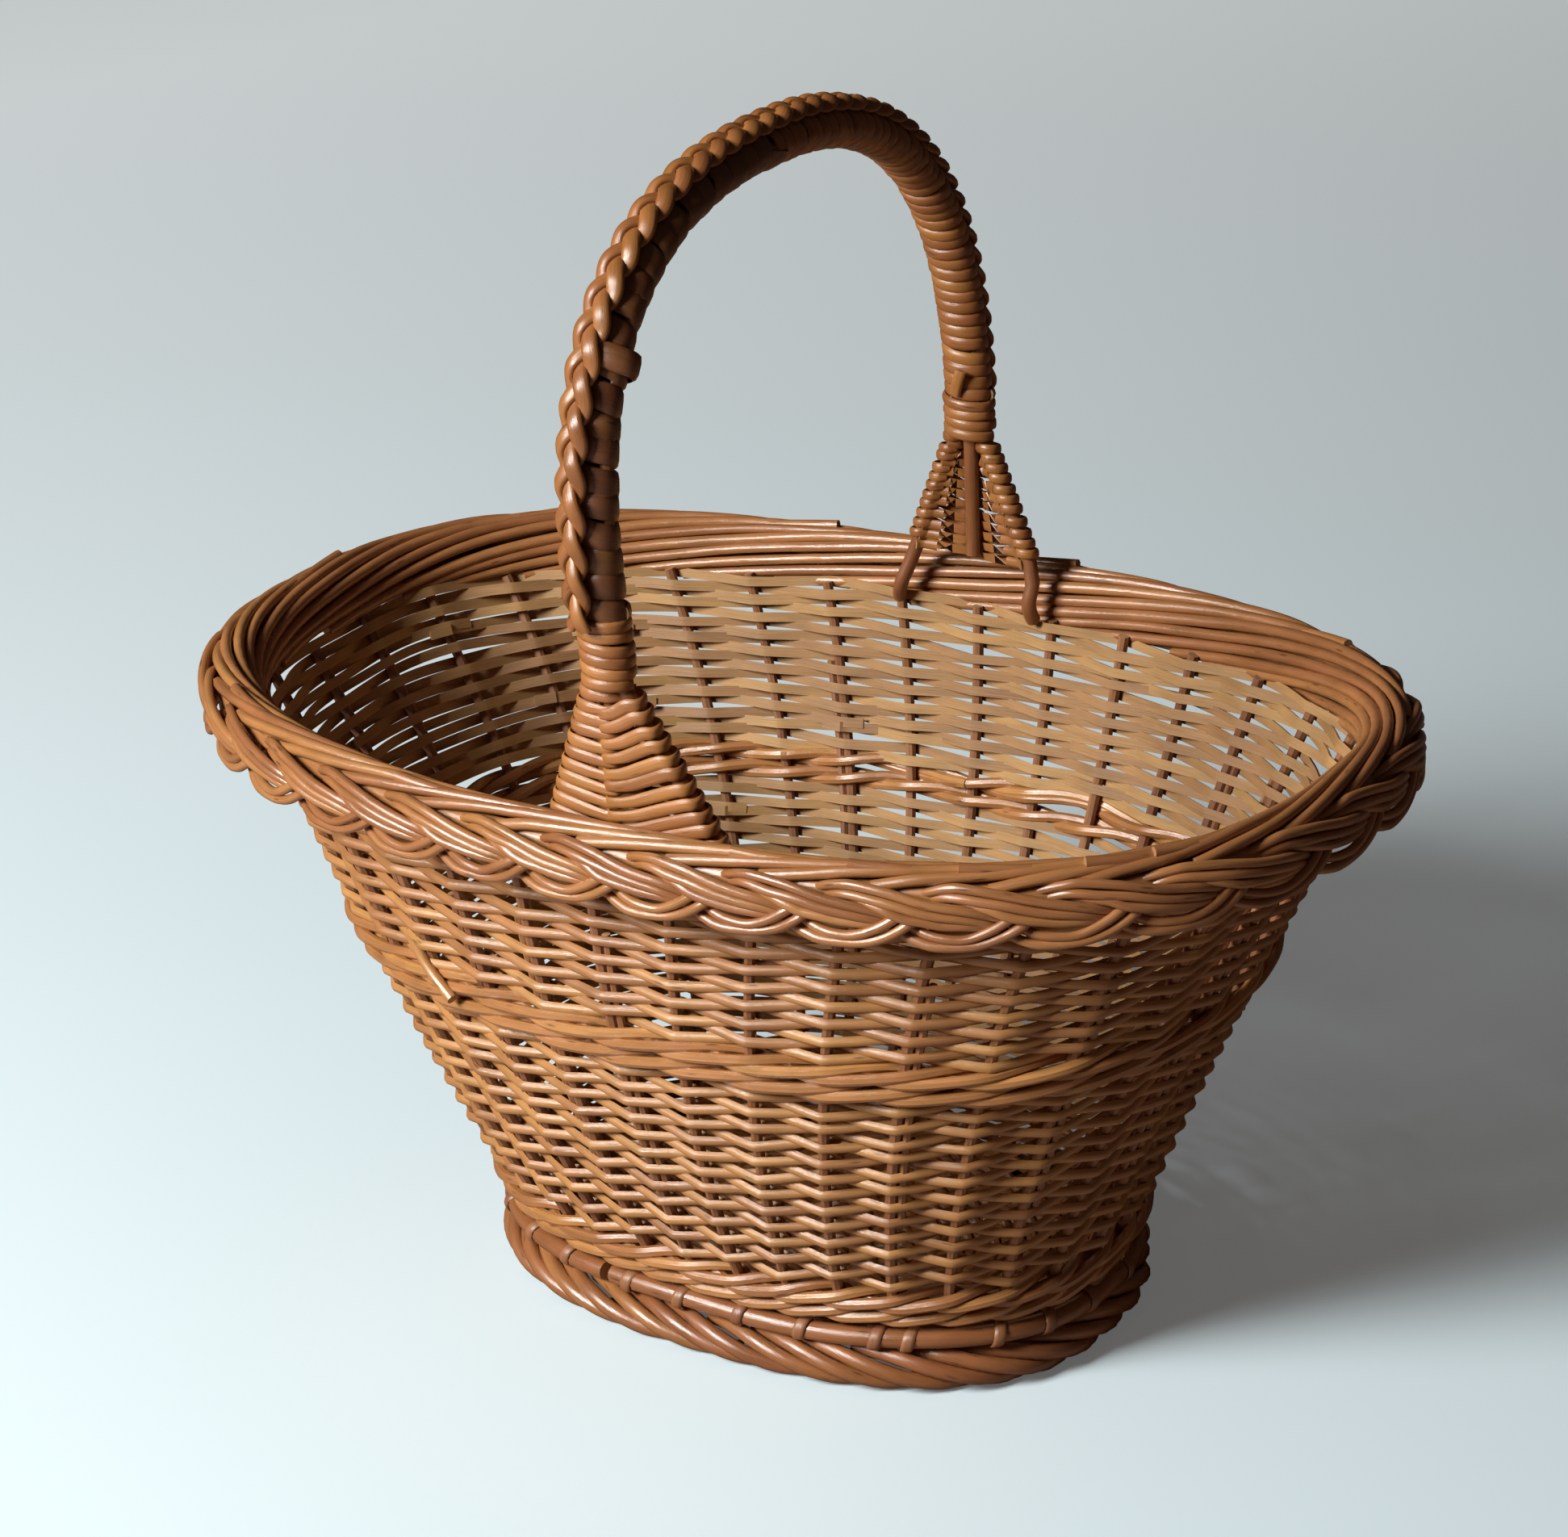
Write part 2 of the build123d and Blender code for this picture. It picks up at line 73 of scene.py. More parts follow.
class WallSizes(bpy.types.PropertyGroup):
    """Stakes, weave and wales"""
    stakes: count("Stakes", 34, "Upright stakes round the wall")
    foot_z: length("Foot height", 0.028, "Height of the lower oval of stakes")
    foot_length: length("Foot half length", 0.1165, "Half length of the lower oval")
    foot_width: length("Foot half width", 0.076, "Half width of the lower oval")
    head_z: length("Head height", 0.203, "Height of the oval under the border")
    head_length: length("Head half length", 0.199, "Half length of the upper oval")
    head_width: length("Head half width", 0.123, "Half width of the upper oval")
    side_bulge: length("Side bulge", 0.0095, "How far the long sides bow outwards")
    end_hollow: length("End hollow", 0.0035, "How far the ends bow inwards")
    power: amount("Oval power", 2.45, "2 is an ellipse, more is squarer")
    stake_radius: length("Stake radius", 0.0021, "Radius of a stake")
    stake_low_z: length("Stake lower end", 0.0166, "Where the stakes start in the base")
    stake_high_z: length("Stake upper end", 0.213, "Where the stakes turn into the border")
    weaver_width: length("Weaver width", 0.0038, "Width of a split weaver")
    weaver_thickness: length("Weaver thickness", 0.0019, "Thickness of a split weaver")
    lower_low_z: length("Lower weave from", 0.0432, "Where the lower plain weave starts")
    lower_high_z: length("Lower weave to", 0.1352, "Where the lower plain weave ends")
    lower_rows: count("Lower rows", 24, "Rows of plain weave under the middle wale")
    upper_low_z: length("Upper weave from", 0.1478, "Where the upper plain weave starts")
    upper_high_z: length("Upper weave to", 0.2136, "Where the upper plain weave ends")
    upper_rows: count("Upper rows", 19, "Rows of plain weave over the middle wale")
    wale_radius: length("Wale rod radius", 0.0021, "Radius of a wale rod")
    upsett_z: length("Upsett wale height", 0.0348, "Middle height of the wale at the foot")
    middle_z: length("Middle wale height", 0.1415, "Middle height of the wale in the wall")
    lower_crowding: amount("Lower crowding", 0.12, "How much closer the upper rows of the lower weave lie")
    wale_layer: length("Wale layer", 0.0034, "How far the two layers of a wale lie from its middle")
    wale_lift: length("Wale lift", 0.0019, "How far a wale rod climbs and dips on its way")


class BorderSizes(bpy.types.PropertyGroup):
    """Plait and tails of the rim"""
    half_length: length("Half length", 0.213, "Half length of the border's middle line")
    half_width: length("Half width", 0.136, "Half width of the border's middle line")
    centre_z: length("Height", 0.2195, "Height of the border's middle line")
    units: count("Units", 34, "Strands of the plait round the border")
    sag: length("Sag", 0.0022, "How far the ends stand higher and the sides lower than the middle line")
    strand_radius: length("Strand rod radius", 0.00165, "Radius of a rod in the plait")
    tail_radius: length("Tail rod radius", 0.00205, "Radius of a rod that lies along the rim")


class FootSizes(bpy.types.PropertyGroup):
    """Roll, hoop and base"""
    half_length: length("Half length", 0.116, "Half length of the foot's middle line")
    half_width: length("Half width", 0.0765, "Half width of the foot's middle line")
    centre_z: length("Height", 0.0083, "Height of the foot's middle line")
    roll_width: length("Roll half width", 0.0057, "Half width of the roll's middle line")
    roll_height: length("Roll half height", 0.0052, "Half height of the roll's middle line")
    rods: count("Rods", 34, "Short rods rolled round the foot")
    rod_radius: length("Rod radius", 0.003, "Radius of a foot rod")
    hoop_radius: length("Hoop radius", 0.0036, "Radius of the hoop over the foot")
    hoop_z: length("Hoop height", 0.0206, "Height of the hoop")
    lashings: count("Lashings", 28, "Skein ties round the hoop")
    base_z: length("Base height", 0.0132, "Middle height of the woven base")
    hoop_start: amount("Hoop start", 23.0, "Where the hoop's first end lies, counted in stakes")
    hoop_gap: amount("Hoop gap", 0.2, "Gap between the ends of the hoop, counted in stakes")
    tie_width: length("Tie width", 0.0044, "Width of a tie")
    tie_thickness: length("Tie thickness", 0.0008, "Thickness of a tie")
    cross_sticks: count("Cross sticks", 7, "Sticks across the base")
    cross_reach: length("Cross stick reach", 0.08, "How far from the middle the outer cross sticks lie")
    cross_radius: length("Cross stick radius", 0.004, "Radius of a cross stick")
    long_sticks: count("Long sticks", 5, "Sticks along the base")
    long_reach: length("Long stick reach", 0.018, "How far from the middle the outer long sticks lie")
    long_radius: length("Long stick radius", 0.002, "Radius of a long stick")
    base_rows: count("Base rows", 15, "Rounds of paired rods in the base")
    base_beats: count("Base beats", 24, "How often a pair of rods crosses in one round of the base")
    base_inset: length("Base inset", 0.0022, "How far inside the stakes the first round of the base lies")
    base_pitch: length("Base pitch", 0.0043, "Step from round to round of the base")
    base_swing: length("Base swing", 0.0045, "How far a rod of the base swings over and under the sticks")
    base_rod_radius: length("Base rod radius", 0.0021, "Radius of a rod of the base weave")


class HandleSizes(bpy.types.PropertyGroup):
    """Bow, binding, plait and fans"""
    shift: length("Shift", 0.007, "How far the bow stands along the length from the middle")
    lean: length("Lean", 0.0145, "How far the near shoulder of the bow leans outwards")
    twist: length("Twist", 0.0042, "How far the near leg stands along the length from the bow's middle")
    half_span: length("Half span", 0.119, "Half width of the bow at its spring")
    spring_z: length("Spring height", 0.284, "Where the bow starts to curve")
    crown_z: length("Crown height", 0.421, "Height of the bow's middle line at the crown")
    power: amount("Bow power", 2.44, "2 is an ellipse, more is squarer")
    rod_radius: length("Rod radius", 0.0027, "Radius of a bow rod")
    wrap_width: length("Wrap half width", 0.0092, "Half width of the wrapped bow")
    wrap_height: length("Wrap half height", 0.0072, "Half height of the wrapped bow")
    near_pitch: length("Near wrap pitch", 0.0088, "Step of the binding on the near half of the bow")
    far_pitch: length("Far wrap pitch", 0.0049, "Step of the binding on the far half of the bow")
    plait_period: length("Plait period", 0.0330, "Length in which a strand of the plait swings to and fro")
    collar_low_z: length("Near collar from", 0.273, "Where the near fan ends and its collar starts")
    far_collar_low_z: length("Far collar from", 0.2825, "Where the far fan ends and its collar starts")
    collar_high_z: length("Collar to", 0.298, "Where the collar ends")
    fan_foot_z: length("Fan foot", 0.214, "Where the splayed rods enter the border")
    near_left: length("Near left splay", 0.0273, "How far the left rod splays at the near foot")
    near_right: length("Near right splay", 0.0427, "How far the right rod splays at the near foot")
    far_splay: length("Far splay", 0.0328, "How far both side rods splay at the far foot")
    skein_thickness: length("Skein thickness", 0.0011, "Thickness of the binding of the bow")
    collar_pitch: length("Collar pitch", 0.0042, "Step of the binding on the collars")
    collar_swell: length("Collar swell", 0.0008, "How much further out the binding of a collar lies")
    plait_swing: length("Plait swing", 0.0043, "How far a strand of the plait swings to each side")
    plait_rise: length("Plait rise", 0.0015, "How far the middle of the plait lies over the binding")
    plait_lift: length("Plait lift", 0.0013, "How far a strand of the plait climbs and dips")
    plait_radius: length("Plait strand radius", 0.0030, "Half width of a strand of the plait")
    fan_rows: count("Fan rows", 11, "Rows of binding on each side of a fan")
    fan_thickness: length("Fan skein thickness", 0.0010, "Thickness of the binding of a fan")
    near_fan_low_z: length("Near fan from", 0.2225, "Where the binding of the near fan starts")
    far_fan_low_z: length("Far fan from", 0.2385, "Where the binding of the far fan starts")


class WillowColours(bpy.types.PropertyGroup):
    """Colours of the willow and of the floor"""
    weaver: colour("Weaver skin", (0.475, 0.222, 0.074), "Outside of a split weaver")
    pith: colour("Weaver pith", (0.445, 0.238, 0.082), "Split inside of a weaver, and every cut end")
    stake: colour("Stake", (0.30, 0.125, 0.048), "Stakes")
    wale: colour("Wale", (0.47, 0.21, 0.070), "Wale rods")
    border: colour("Border", (0.42, 0.180, 0.063), "Rods of the border")
    foot: colour("Foot", (0.36, 0.142, 0.048), "Rods of the foot and the hoop")
    skein: colour("Skein", (0.44, 0.180, 0.052), "Binding of the near fan and collar")
    # Painted shade: the near half's binding is much darker than the far wrap, standing in for the shade on
    # the near leg
    binding: colour("Binding", (0.165, 0.058, 0.017), "Binding of the near half of the bow")
    # On the far fan this darker colour is painted shade for the fan's shaded inside; elsewhere it is the
    # skein's own darker tone
    wrap: colour("Wrap", (0.35, 0.136, 0.037), "Binding of the far half of the bow, and its plait")
    bow: colour("Bow rod", (0.28, 0.105, 0.035), "Rods of the bow")
    tie: colour("Tie", (0.33, 0.135, 0.055), "Ties round the hoop")
    floor: colour("Floor", (0.76, 0.92, 0.985), "Floor under the basket")


GROUPS = {"wall": WallSizes, "border": BorderSizes, "foot": FootSizes, "handle": HandleSizes,
          "colours": WillowColours}


def sizes(group):
    """The values of one property group of the scene."""
    return getattr(bpy.context.scene, "basket_" + group)


# Lines and directions

X_AXIS = np.array([1.0, 0.0, 0.0])
Y_AXIS = np.array([0.0, 1.0, 0.0])
Z_AXIS = np.array([0.0, 0.0, 1.0])
MILLIMETRE = 0.001
# Room between rods that lie on each other
CLEARANCE = 0.0002
# Points of a line that goes round the whole basket
ROUND_STATIONS = 161


def unit(vectors):
    """The vectors, brought to length 1."""
    return vectors / np.linalg.norm(vectors, axis=-1, keepdims=True)


def dot(a, b):
    """The dot products of rows of vectors."""
    return np.sum(a * b, axis=-1, keepdims=True)


def runs(line):
    """The direction of a line of points at each of them."""
    return unit(np.gradient(line, axis=0))


def walked_along(line):
    """The distance walked along a line at each of its points."""
    step = np.linalg.norm(np.diff(line, axis=0), axis=1)
    return np.concatenate([[0.0], np.cumsum(step)])


def smooth_line(knots, steps):
    """A Catmull-Rom curve through rows of numbers, with steps stations from knot to knot."""
    knots = np.asarray(knots, dtype=float)
    padded = np.vstack([2 * knots[0] - knots[1], knots, 2 * knots[-1] - knots[-2]])
    pieces = []
    share = np.linspace(0, 1, steps, endpoint=False)[:, None]
    for a, b, c, d in zip(padded, padded[1:], padded[2:], padded[3:]):
        pieces.append(0.5 * (2 * b + (c - a) * share + (2 * a - 5 * b + 4 * c - d) * share ** 2
                             + (3 * b - a - 3 * c + d) * share ** 3))
    return np.vstack(pieces + [knots[-1:]])


class Oval:
    """A superellipse that is walked at an even pace, from +X towards +Y."""

    def __init__(self, half_length, half_width, power):
        turn = np.linspace(0, 2 * math.pi, 2881)
        c, s = np.cos(turn), np.sin(turn)
        self.x = half_length * np.abs(c) ** (2 / power) * np.sign(c)
        self.y = half_width * np.abs(s) ** (2 / power) * np.sign(s)
        self.walked = walked_along(np.column_stack([self.x, self.y]))
        self.round = self.walked[-1]

    def at(self, share):
        """Points at shares of the whole way round."""
        goal = np.mod(share, 1.0) * self.round
        x = np.interp(goal, self.walked, self.x)
        y = np.interp(goal, self.walked, self.y)
        return np.stack([x, y], axis=-1)

    def outward(self, share):
        """Level outward directions at shares of the whole way round."""
        step = 0.002
        ahead = self.at(share + step) - self.at(share - step)
        return unit(np.stack([ahead[..., 1], -ahead[..., 0], np.zeros(len(ahead))], axis=-1))


class Wall:
    """The leaning, bowed line of stakes; places round it count stakes."""

    def __init__(self):
        s = sizes("wall")
        self.stakes = s.stakes
        self.foot_z = s.foot_z
        self.height = s.head_z - s.foot_z
        self.low_half = np.array([s.foot_length, s.foot_width])
        self.high_half = np.array([s.head_length, s.head_width])
        self.bow = np.array([-s.end_hollow, s.side_bulge])
        self.foot = Oval(s.foot_length, s.foot_width, s.power)
        self.head = Oval(s.head_length, s.head_width, s.power)

    def half_sizes(self, z):
        """The half sizes of straight stakes at heights, and what the bow of the stakes adds."""
        up = ((np.asarray(z, dtype=float) - self.foot_z) / self.height)[..., None]
        return self.low_half + (self.high_half - self.low_half) * up, self.bow * 4 * up * (1 - up)

    def centre(self, share, z):
        """Points of the middle line of the stakes."""
        up = ((z - self.foot_z) / self.height)[:, None]
        low, high = self.foot.at(share), self.head.at(share)
        straight, added = self.half_sizes(z)
        return np.column_stack([(low + (high - low) * up) * (1 + added / straight), z])

    def at(self, place, z):
        """Points of the wall, with the outward and upward directions there."""
        place = np.asarray(place, dtype=float)
        z = np.broadcast_to(np.asarray(z, dtype=float), place.shape)
        share = (place + 0.5) / self.stakes
        step = 0.0005
        rise = unit(self.centre(share, z + step) - self.centre(share, z - step))
        level = unit(self.foot.outward(share) + self.head.outward(share))
        return self.centre(share, z), unit(level - rise * dot(level, rise)), rise


class Rim:
    """A level oval with a section round it; places round it count units."""

    def __init__(self, half_length, half_width, centre_z, units, sag=0.0):
        self.oval = Oval(half_length, half_width, sizes("wall").power)
        self.half = np.array([half_length, half_width])
        self.sag = sag
        self.z = centre_z
        self.units = units

    def at(self, place, out, up):
        """Points at distances outwards and upwards from the middle line, and the outward direction."""
        share = (np.asarray(place, dtype=float) + 0.5) / self.units
        normal = self.oval.outward(share)
        flat = self.oval.at(share)
        bend = (flat / self.half) ** 2
        points = np.column_stack([flat, self.z + self.sag * (bend[:, 0] - bend[:, 1])])
        points = points + normal * np.reshape(out, (-1, 1))
        points[:, 2] += up
        return points, normal

    def rolled(self, place, turn, half_width, half_height):
        """Points of a section that turns round the middle line, and the directions away from it."""
        cos, sin = np.cos(turn), np.sin(turn)
        points, normal = self.at(place, half_width * cos, half_height * sin)
        return points, normal * cos[:, None] + Z_AXIS * sin[:, None]


# Sections

def round_section(radius, sides=8, flatten=1.0):
    """A round rod, or one that is flattened towards its outer face."""
    turn = 2 * math.pi * np.arange(sides) / sides
    return np.column_stack([radius * flatten * np.cos(turn), radius * np.sin(turn)])


def split_section(width, thickness):
    """A half-round weaver: a bowed skin outside and a flat split side inside."""
    turn = np.linspace(-math.pi / 2, math.pi / 2, 6)
    return np.column_stack([thickness * np.cos(turn) - thickness / 2, width / 2 * np.sin(turn)])


def skein_section(width, thickness):
    """A flat strip with a slightly bowed outer face."""
    across = np.array([-0.5, -0.42, -0.2, 0.2, 0.42, 0.5]) * width
    out = np.array([0.0, 0.62, 0.95, 0.95, 0.62, 0.0]) * thickness
    return np.column_stack([out, across])


class Bundle:
    """Rods swept along lines and gathered into one mesh, with grain, tint and pith on it."""

    def __init__(self, seed):
        self.rng = np.random.default_rng(seed)
        self.points, self.faces, self.grain, self.tint, self.pith = [], [], [], [], []
        self.total = 0

    def sweep(self, line, out, section, split_sides=(), taper=None, tint=None):
        """Add one rod; out is where the section's first axis points, split_sides are bare pith."""
        line = np.asarray(line, dtype=float)
        run = runs(line)
        out = unit(out - run * dot(out, run))
        up = np.cross(run, out)
        scale = np.ones(len(line)) if taper is None else np.asarray(taper)
        n, m = len(line), len(section)
        first = scale[:, None, None] * section[None, :, 0, None] * out[:, None, :]
        second = scale[:, None, None] * section[None, :, 1, None] * up[:, None, :]
        self.points.append((line[:, None, :] + first + second).reshape(-1, 3))
        along = walked_along(line)
        shift = self.rng.uniform(0, 4, 3)
        grain = np.empty((n, m, 3))
        grain[:, :, 0] = along[:, None] + shift[0]
        grain[:, :, 1] = section[None, :, 0] + shift[1]
        grain[:, :, 2] = section[None, :, 1] + shift[2]
        self.grain.append(grain.reshape(-1, 3))
        ring = np.arange(m)
        ahead = (ring + 1) % m
        base = self.total + m * np.arange(n - 1)[:, None]
        quads = np.stack([base + ring, base + ahead, base + m + ahead, base + m + ring], axis=-1)
        bare = np.zeros((n - 1, m))
        bare[:, list(split_sides)] = 1.0
        self.faces.extend(quads.reshape(-1, 4).tolist())
        self.faces.append((self.total + ring[::-1]).tolist())
        self.faces.append((self.total + m * (n - 1) + ring).tolist())
        self.pith.append(np.concatenate([bare.reshape(-1), [1.0, 1.0]]))
        shade = np.broadcast_to(self.rng.uniform(0, 1) if tint is None else tint, (n - 1,))
        self.tint.append(np.concatenate([np.repeat(shade, m), shade[[0, -1]]]))
        self.total += n * m

    def gather(self, name, material, nodes, smooth=40):
        """Make the piece and tie it to the frame."""
        mesh = bpy.data.meshes.new(name)
        mesh.from_pydata(np.vstack(self.points).tolist(), [], self.faces)
        for field, kind, where, values in (("grain", "FLOAT_VECTOR", "POINT", np.vstack(self.grain)),
                                           ("tint", "FLOAT", "FACE", np.concatenate(self.tint)),
                                           ("pith", "FLOAT", "FACE", np.concatenate(self.pith))):
            layer = mesh.attributes.new(field, kind, where)
            layer.data.foreach_set("vector" if kind == "FLOAT_VECTOR" else "value", values.ravel())
        piece = bpy.data.objects.new(name, mesh)
        bpy.context.collection.objects.link(piece)
        bpy.ops.object.select_all(action="DESELECT")
        piece.select_set(True)
        bpy.context.view_layer.objects.active = piece
        bpy.ops.object.shade_smooth_by_angle(angle=math.radians(smooth))
        piece.data.materials.append(material)
        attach(piece, "root")
        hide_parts(*nodes)


# Materials

def place_node(tree, kind, feeds=None, **values):
    """A shader node; a value is an input when the node has a socket of that name, feeds are linked to it."""
    node = tree.nodes.new(kind)
    for key, value in values.items():
        socket = key.replace("_", " ")
        if socket in node.inputs:
            node.inputs[socket].default_value = value
        else:
            setattr(node, key, value)
    for socket, source in (feeds or {}).items():
        tree.links.new(source, node.inputs[socket])
    return node


def stretched(tree, grain, kind, stretch, **values):
    """A texture drawn out along the rod."""
    mapping = place_node(tree, "ShaderNodeMapping", {"Vector": grain}, Scale=stretch)
    return place_node(tree, kind, {"Vector": mapping.outputs["Vector"]}, Scale=1.0, **values)


def spread(tree, source, given, wanted):
    """A value moved from one range to another."""
    node = place_node(tree, "ShaderNodeMapRange", {"Value": source}, From_Min=given[0], From_Max=given[1],
                      To_Min=wanted[0], To_Max=wanted[1])
    return node.outputs["Result"]


def scaled_sum(tree, first, factor, second):
    """The first value times a factor, plus the second."""
    node = place_node(tree, "ShaderNodeMath", {0: first, 2: second}, operation="MULTIPLY_ADD")
    node.inputs[1].default_value = factor
    return node.outputs["Value"]


def combined(tree, operation, first, second):
    """A sum or product of two values."""
    return place_node(tree, "ShaderNodeMath", {0: first, 1: second}, operation=operation).outputs["Value"]


def grain_group():
    """Lengthwise fibre, slow blotches and small dark buds of a willow rod."""
    if "willow_grain" in bpy.data.node_groups:
        return bpy.data.node_groups["willow_grain"]
    tree = bpy.data.node_groups.new("willow_grain", "ShaderNodeTree")
    grain, tint, pith = [place_node(tree, "ShaderNodeAttribute", attribute_name=field)
                         for field in ("grain", "tint", "pith")]
    along = grain.outputs["Vector"]
    noise = "ShaderNodeTexNoise"
    fibre = stretched(tree, along, noise, (60.0, 2600.0, 2600.0), Detail=4.0, Roughness=0.65).outputs["Fac"]
    blotch = stretched(tree, along, noise, (45.0, 160.0, 160.0), Detail=3.0, Roughness=0.55).outputs["Fac"]
    cells = stretched(tree, along, "ShaderNodeTexVoronoi", (55.0, 330.0, 330.0))
    results = {
        "Fibre": fibre,
        "Blotch": blotch,
        "Bud": spread(tree, cells.outputs["Distance"], (0.06, 0.16), (1.0, 0.0)),
        "Relief": scaled_sum(tree, blotch, 0.35, fibre),
        "Tint": tint.outputs["Fac"],
        "Pith": pith.outputs["Fac"],
    }
    for name in results:
        tree.interface.new_socket(name, in_out="OUTPUT", socket_type="NodeSocketFloat")
    place_node(tree, "NodeGroupOutput", results)
    return tree


# What each field of the grain does to a colour: its own range, and how dark and light it makes the rod
SHADES = {
    "Tint": ((0.0, 1.0), (0.84, 1.14)),
    "Blotch": ((0.3, 0.7), (0.82, 1.16)),
    "Fibre": ((0.3, 0.7), (0.84, 1.12)),
    "Bud": ((0.0, 1.0), (1.0, 0.45)),
}
HUE_TURN = (0.494, 0.505)


def shade_group():
    """A willow colour made lighter and darker by rod, by blotch, by fibre and by bud."""
    if "willow_shade" in bpy.data.node_groups:
        return bpy.data.node_groups["willow_shade"]
    tree = bpy.data.node_groups.new("willow_shade", "ShaderNodeTree")
    tree.interface.new_socket("Colour", in_out="INPUT", socket_type="NodeSocketColor")
    for name in SHADES:
        tree.interface.new_socket(name, in_out="INPUT", socket_type="NodeSocketFloat")
    tree.interface.new_socket("Colour", in_out="OUTPUT", socket_type="NodeSocketColor")
    given = tree.nodes.new("NodeGroupInput")
    parts = [spread(tree, given.outputs[name], *ranges) for name, ranges in SHADES.items()]
    value = parts[0]
    for part in parts[1:]:
        value = combined(tree, "MULTIPLY", value, part)
    turn = spread(tree, given.outputs["Tint"], (0.0, 1.0), HUE_TURN)
    feeds = {"Hue": turn, "Value": value, "Color": given.outputs["Colour"]}
    hue = place_node(tree, "ShaderNodeHueSaturation", feeds, Saturation=1.0)
    place_node(tree, "NodeGroupOutput", {"Colour": hue.outputs["Color"]})
    return tree


def willow(name, skin, pith, roughness, bump):
    """A willow finish: varnished skin, and drier pith where the rod is split or cut."""
    if name in bpy.data.materials:
        return bpy.data.materials[name]
    material = bpy.data.materials.new(name)
    material.use_nodes = True
    tree = material.node_tree
    shader = tree.nodes["Principled BSDF"]
    grain = place_node(tree, "ShaderNodeGroup", node_tree=grain_group())
    tones = []
    for tone, fields in ((skin, ("Tint", "Blotch", "Fibre", "Bud")), (pith, ("Tint", "Blotch", "Fibre"))):
        shade = place_node(tree, "ShaderNodeGroup", node_tree=shade_group())
        shade.inputs["Colour"].default_value = (*tone, 1.0)
        for field in fields:
            tree.links.new(grain.outputs[field], shade.inputs[field])
        tones.append(shade.outputs["Colour"])
    feeds = {0: grain.outputs["Pith"], 6: tones[0], 7: tones[1]}
    mix = place_node(tree, "ShaderNodeMix", feeds, data_type="RGBA")
    tree.links.new(mix.outputs[2], shader.inputs["Base Color"])
    matt = spread(tree, grain.outputs["Blotch"], (0.25, 0.75), (roughness, roughness + 0.16))
    tree.links.new(scaled_sum(tree, grain.outputs["Pith"], 0.3, matt), shader.inputs["Roughness"])
    shader.inputs["Specular IOR Level"].default_value = 1.0
    feeds = {"Height": grain.outputs["Relief"]}
    rough = place_node(tree, "ShaderNodeBump", feeds, Strength=bump, Distance=0.0004)
    tree.links.new(rough.outputs["Normal"], shader.inputs["Normal"])
    return material


# How rough and how deep in grain the varnish of each kind of piece is
FINISHES = {
    "weaver": (0.25, 0.45),
    "stake": (0.42, 0.35),
    "wale": (0.20, 0.35),
    "border": (0.19, 0.30),
    "foot": (0.21, 0.30),
    "tie": (0.34, 0.40),
    "skein": (0.26, 0.40),
    "wrap": (0.26, 0.40),
    # The darkened near binding is painted shade on the near leg
    "binding": (0.28, 0.40),
    "bow": (0.28, 0.30),
}


def finish_of(kind):
    """The material of one kind of piece, in the colour of its name."""
    colours = sizes("colours")
    roughness, bump = FINISHES[kind]
    return willow("basket_" + kind, tuple(getattr(colours, kind)), tuple(colours.pith), roughness, bump)


# Wall

class BASKET_OT_stakes(bpy.types.Operator):
    """Stand the stakes round the wall"""
    bl_idname = "basket.stakes"
    bl_label = "Stakes"

    def execute(self, context):
        s = sizes("wall")
        wall = Wall()
        bundle = Bundle(11)
        stations = 14
        heights = np.linspace(s.stake_low_z, s.stake_high_z, stations)
        for i in range(s.stakes):
            lean, *_ = bundle.rng.normal(0, 0.012, 3)
            points, out, rise = wall.at(i + lean * np.arange(stations) / stations, heights)
            bundle.sweep(points, out, round_section(s.stake_radius * bundle.rng.uniform(0.92, 1.08)))
            # Some stakes have a thinner rod beside them, which stops short of both ends
            if bundle.rng.uniform() < 0.3:
                beside = np.cross(rise, out) * s.stake_radius * 1.75 * bundle.rng.choice([-1, 1])
                thin = round_section(s.stake_radius * 0.72, 7)
                bundle.sweep((points + beside)[4:12], out[4:12], thin)
        bundle.gather("stakes", finish_of("stake"), ["stakes"])
        return {"FINISHED"}


def sway(place, z):
    """How far the rows lie above or below their level: slow and alike in rows that touch."""
    # The rows under the border lie looser than the others
    under_border = np.clip((z - 0.180) / 0.030, 0, 1)
    slow = 0.0006 * np.sin(place * 0.62 + z * 55)
    medium = 0.0005 * np.sin(place * 1.37 - z * 38 + 1.3)
    quick = 0.0004 * np.sin(place * 2.2 + z * 90 + 0.4)
    loose = 0.0012 * under_border * np.sin(place * 0.95 + z * 24)
    return slow + medium + quick + loose


# Where a weaver's line has its points between one stake and the next
CROSSING_STATIONS = np.array([0.02, 0.1, 0.3, 0.5, 0.7, 0.9, 0.98])
# How far both ends of a row run past its first stake, in stakes, and how much deeper they lie
ROW_OVERLAP = 0.34
ROW_START_INSET = 0.0006
ROW_END_INSET = 0.0024


